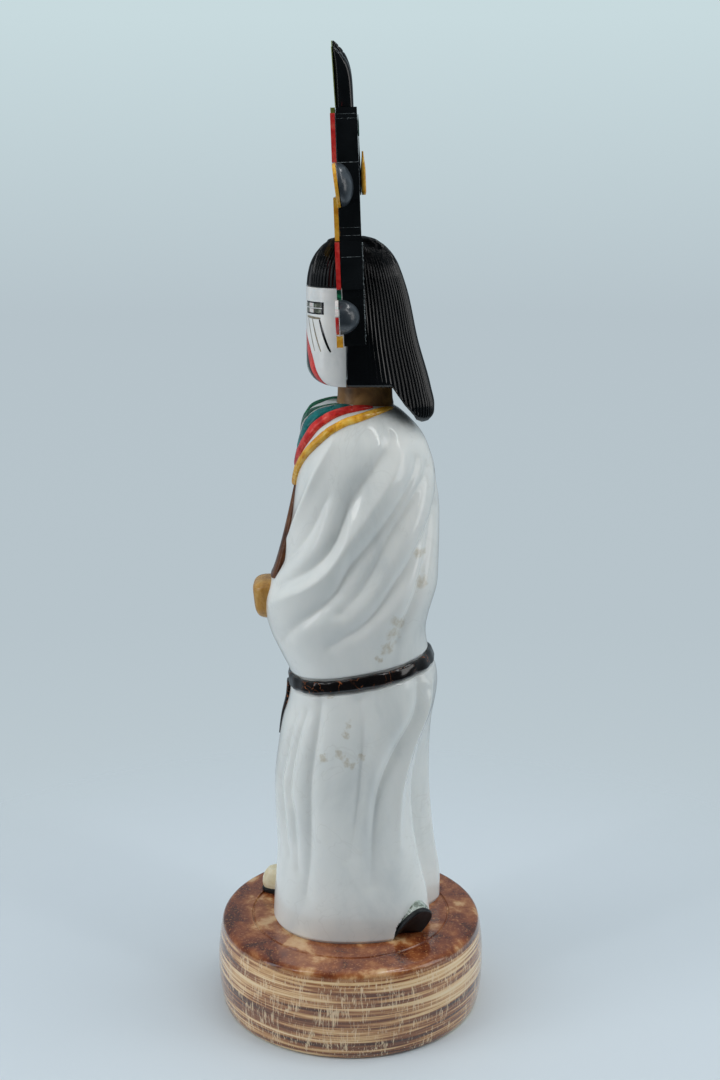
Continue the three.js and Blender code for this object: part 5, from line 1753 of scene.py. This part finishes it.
@dataclass
class Base:
    """Turned base: a low barrel with a rounded rim and a ring cut in its top."""

    radius: float = 55.0
    bulge: float = 1.8
    edge: float = 2.6
    ring_radius: float = 41.8
    ring_width: float = 1.2
    ring_depth: float = 0.6
    # Radii of the rows of points inside the ring
    inner: tuple = (38.0, 25.0, 12.0, 2.0)
    # How much the turned side wavers from round
    waver: float = 0.0012
    sides: int = 220

    def build(self) -> None:
        """Builds the base."""
        corner = np.linspace(0, np.pi / 2, 9)
        rise = np.linspace(0, 1, 24)
        side_z = 1 + (BASE_TOP - self.edge - 1) * rise
        side_r = self.radius + self.bulge * np.sin(np.pi * rise) ** 0.8
        rim_r = self.radius - self.edge + self.edge * np.cos(corner)
        rim_z = BASE_TOP - self.edge + self.edge * np.sin(corner)
        cut = np.linspace(1, -1, 9)
        ring_r = self.ring_radius + self.ring_width / 2 * cut
        ring_z = BASE_TOP - self.ring_depth * np.cos(cut * np.pi / 2) ** 0.8
        radius = np.concatenate([[self.inner[-1], self.radius - 1], side_r, rim_r[1:], ring_r, self.inner])
        height = np.concatenate([[0, 0], side_z, rim_z[1:], ring_z, np.full(len(self.inner), BASE_TOP)])
        turn = around(self.sides)
        reach = radius[:, None] * (1 + self.waver * np.sin(turn * 5 + height[:, None] * 0.2))
        rings = grid(reach * np.cos(turn), reach * np.sin(turn), height[:, None])
        Piece("base_turned", loft(rings), BandedOnyx(), Slot.BASE, ("base",), sharp=50).build()


@dataclass
class Studio:
    """Pale floor and backdrop, soft lights and the camera of the photograph."""

    camera_at: tuple[float, float, float] = (591.25, 4.015, 342.76)
    pitch: float = 13.48
    lens: float = 50.0
    floor_half: float = 6000.0
    # Name, place, aim, width, height in millimetres, power in watts, colour, seen in polished stone
    lights: tuple = (
        ("top_softbox", (60, 40, 900), (0, 0, 150), 900, 900, 2.0, "#FFFCF6", False),
        ("front_softbox", (330, -800, 420), (0, 0, 200), 500, 800, 2.2, "#FBFAF8", False),
        ("rear_softbox", (250, 820, 420), (0, 0, 200), 340, 700, 1.4, "#FBFAF8", True),
        ("ceiling_tube_rear", (320, 420, 800), (0, 0, 250), 70, 700, 0.7, "#FFFFFF", True),
        ("ceiling_tube_front", (360, -460, 760), (0, 0, 250), 50, 600, 0.45, "#FFFFFF", True),
        ("ceiling_lamp", (-70, 320, 1100), (0, 0, 250), 190, 190, 0.8, "#FFFFFF", True),
        ("window_front", (300, -820, 380), (0, 0, 200), 170, 600, 0.6, "#F4F8FF", True))
    # Backdrop from the floor up: share of the view's rise, colour
    backdrop: tuple = ((0.0, "#C4D1D7"), (0.42, "#B7C4CB"), (0.72, "#B6C3CA"), (1.0, "#C8DADE"))
    # How steeply the view falls and rises over the backdrop's whole height
    view_rise: tuple[float, float] = (-0.56, 0.1)
    # Way to the room's dark side, and where it begins and ends for soft light and for mirrors
    dark_side: tuple[float, float, float] = (1.0, 0.0, -0.05)
    room_edge: tuple[float, float] = (0.3, 0.72)
    mirror_edge: tuple[float, float] = (-0.55, 0.35)
    bright: str = "#AFBCC4"
    dark: str = "#5E6468"
    mirror: str = "#7C878E"
    mirror_dark: str = "#22272B"

    def build(self) -> None:
        """Sets up the floor, the world, the lights and the camera."""
        half = self.floor_half * MM
        mesh = bpy.data.meshes.new("studio_floor")
        mesh.from_pydata([(-half, -half, 0), (half, -half, 0), (half, half, 0), (-half, half, 0)], [],
                         [(0, 1, 2, 3)])
        floor = bpy.data.objects.new("studio_floor", mesh)
        floor.location.z = -0.02 * MM
        bpy.context.scene.collection.objects.link(floor)
        mesh.materials.append(StudioPaper().material())
        self.build_world()
        for light in self.lights:
            self.build_light(*light)
        camera = bpy.data.objects.new("photo_camera", bpy.data.cameras.new("photo_camera"))
        camera.data.lens = self.lens
        camera.data.sensor_width = 36.0
        camera.data.clip_end = 50.0
        camera.location = Vector(self.camera_at) * MM
        turn = math.radians(self.pitch)
        ahead = Vector((-math.cos(turn), 0.0, -math.sin(turn)))
        camera.rotation_euler = ahead.to_track_quat("-Z", "Y").to_euler()
        bpy.context.scene.collection.objects.link(camera)
        bpy.context.scene.camera = camera
        bpy.context.scene.view_settings.view_transform = "Standard"

    def build_world(self) -> None:
        """Makes the surroundings: a bright room with a dark side, darker in mirrors, and a backdrop."""
        world = bpy.data.worlds.new("studio_surroundings")
        bpy.context.scene.world = world
        world.use_nodes = True
        tree = world.node_tree
        tree.nodes.clear()
        way = add_node(tree, "TexCoord").outputs["Generated"]
        facing = add_node(tree, "VectorMath", {"operation": "DOT_PRODUCT"}, {0: way, 1: self.dark_side})
        facing = facing.outputs["Value"]
        room = blend(tree, rescale(tree, facing, *self.room_edge, smooth=True), self.bright, self.dark)
        gleam = blend(tree, rescale(tree, facing, *self.mirror_edge, smooth=True),
                      self.mirror, self.mirror_dark)
        drop = ramp(tree, rescale(tree, part_of(tree, way, "Z"), *self.view_rise), self.backdrop)
        path = add_node(tree, "LightPath")
        colour = blend(tree, path.outputs["Is Glossy Ray"], room, gleam)
        colour = blend(tree, path.outputs["Is Camera Ray"], colour, drop)
        surroundings = add_node(tree, "Background", None, {"Color": colour, "Strength": 1.0})
        add_node(tree, "OutputWorld", None, {"Surface": surroundings.outputs[0]})

    def build_light(self, name: str, place: tuple, aim: tuple, wide: float, tall: float, power: float,
                    colour: str, mirrored: bool) -> None:
        """Adds one soft light.

        Args:
            name: its name.
            place: where it stands.
            aim: where it points.
            wide: its width.
            tall: its height.
            power: its power.
            colour: its colour.
            mirrored: whether polished surfaces show it.
        """
        data = bpy.data.lights.new(name, "AREA")
        data.shape = "RECTANGLE"
        data.size, data.size_y = wide * MM, tall * MM
        data.energy = power
        data.color = linear(colour)[:3]
        light = bpy.data.objects.new(name, data)
        light.location = Vector(place) * MM
        light.rotation_euler = (Vector(aim) - Vector(place)).to_track_quat("-Z", "Y").to_euler()
        light.visible_glossy = mirrored
        bpy.context.scene.collection.objects.link(light)


def main() -> None:
    """Builds the doll's looks in order."""
    logging.basicConfig(level=logging.INFO, format="%(name)s %(message)s")
    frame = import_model()
    form = RobeForm()
    for part in (Base(), Shoes(), Robe(form), Belt(form), Necklace(form), Chest(form), Head(), Hair(),
                 Board(frame["nodes"]), Crest(), Sides(), Plume(), Studio()):
        part.build()


if __name__ == "__main__":
    main()
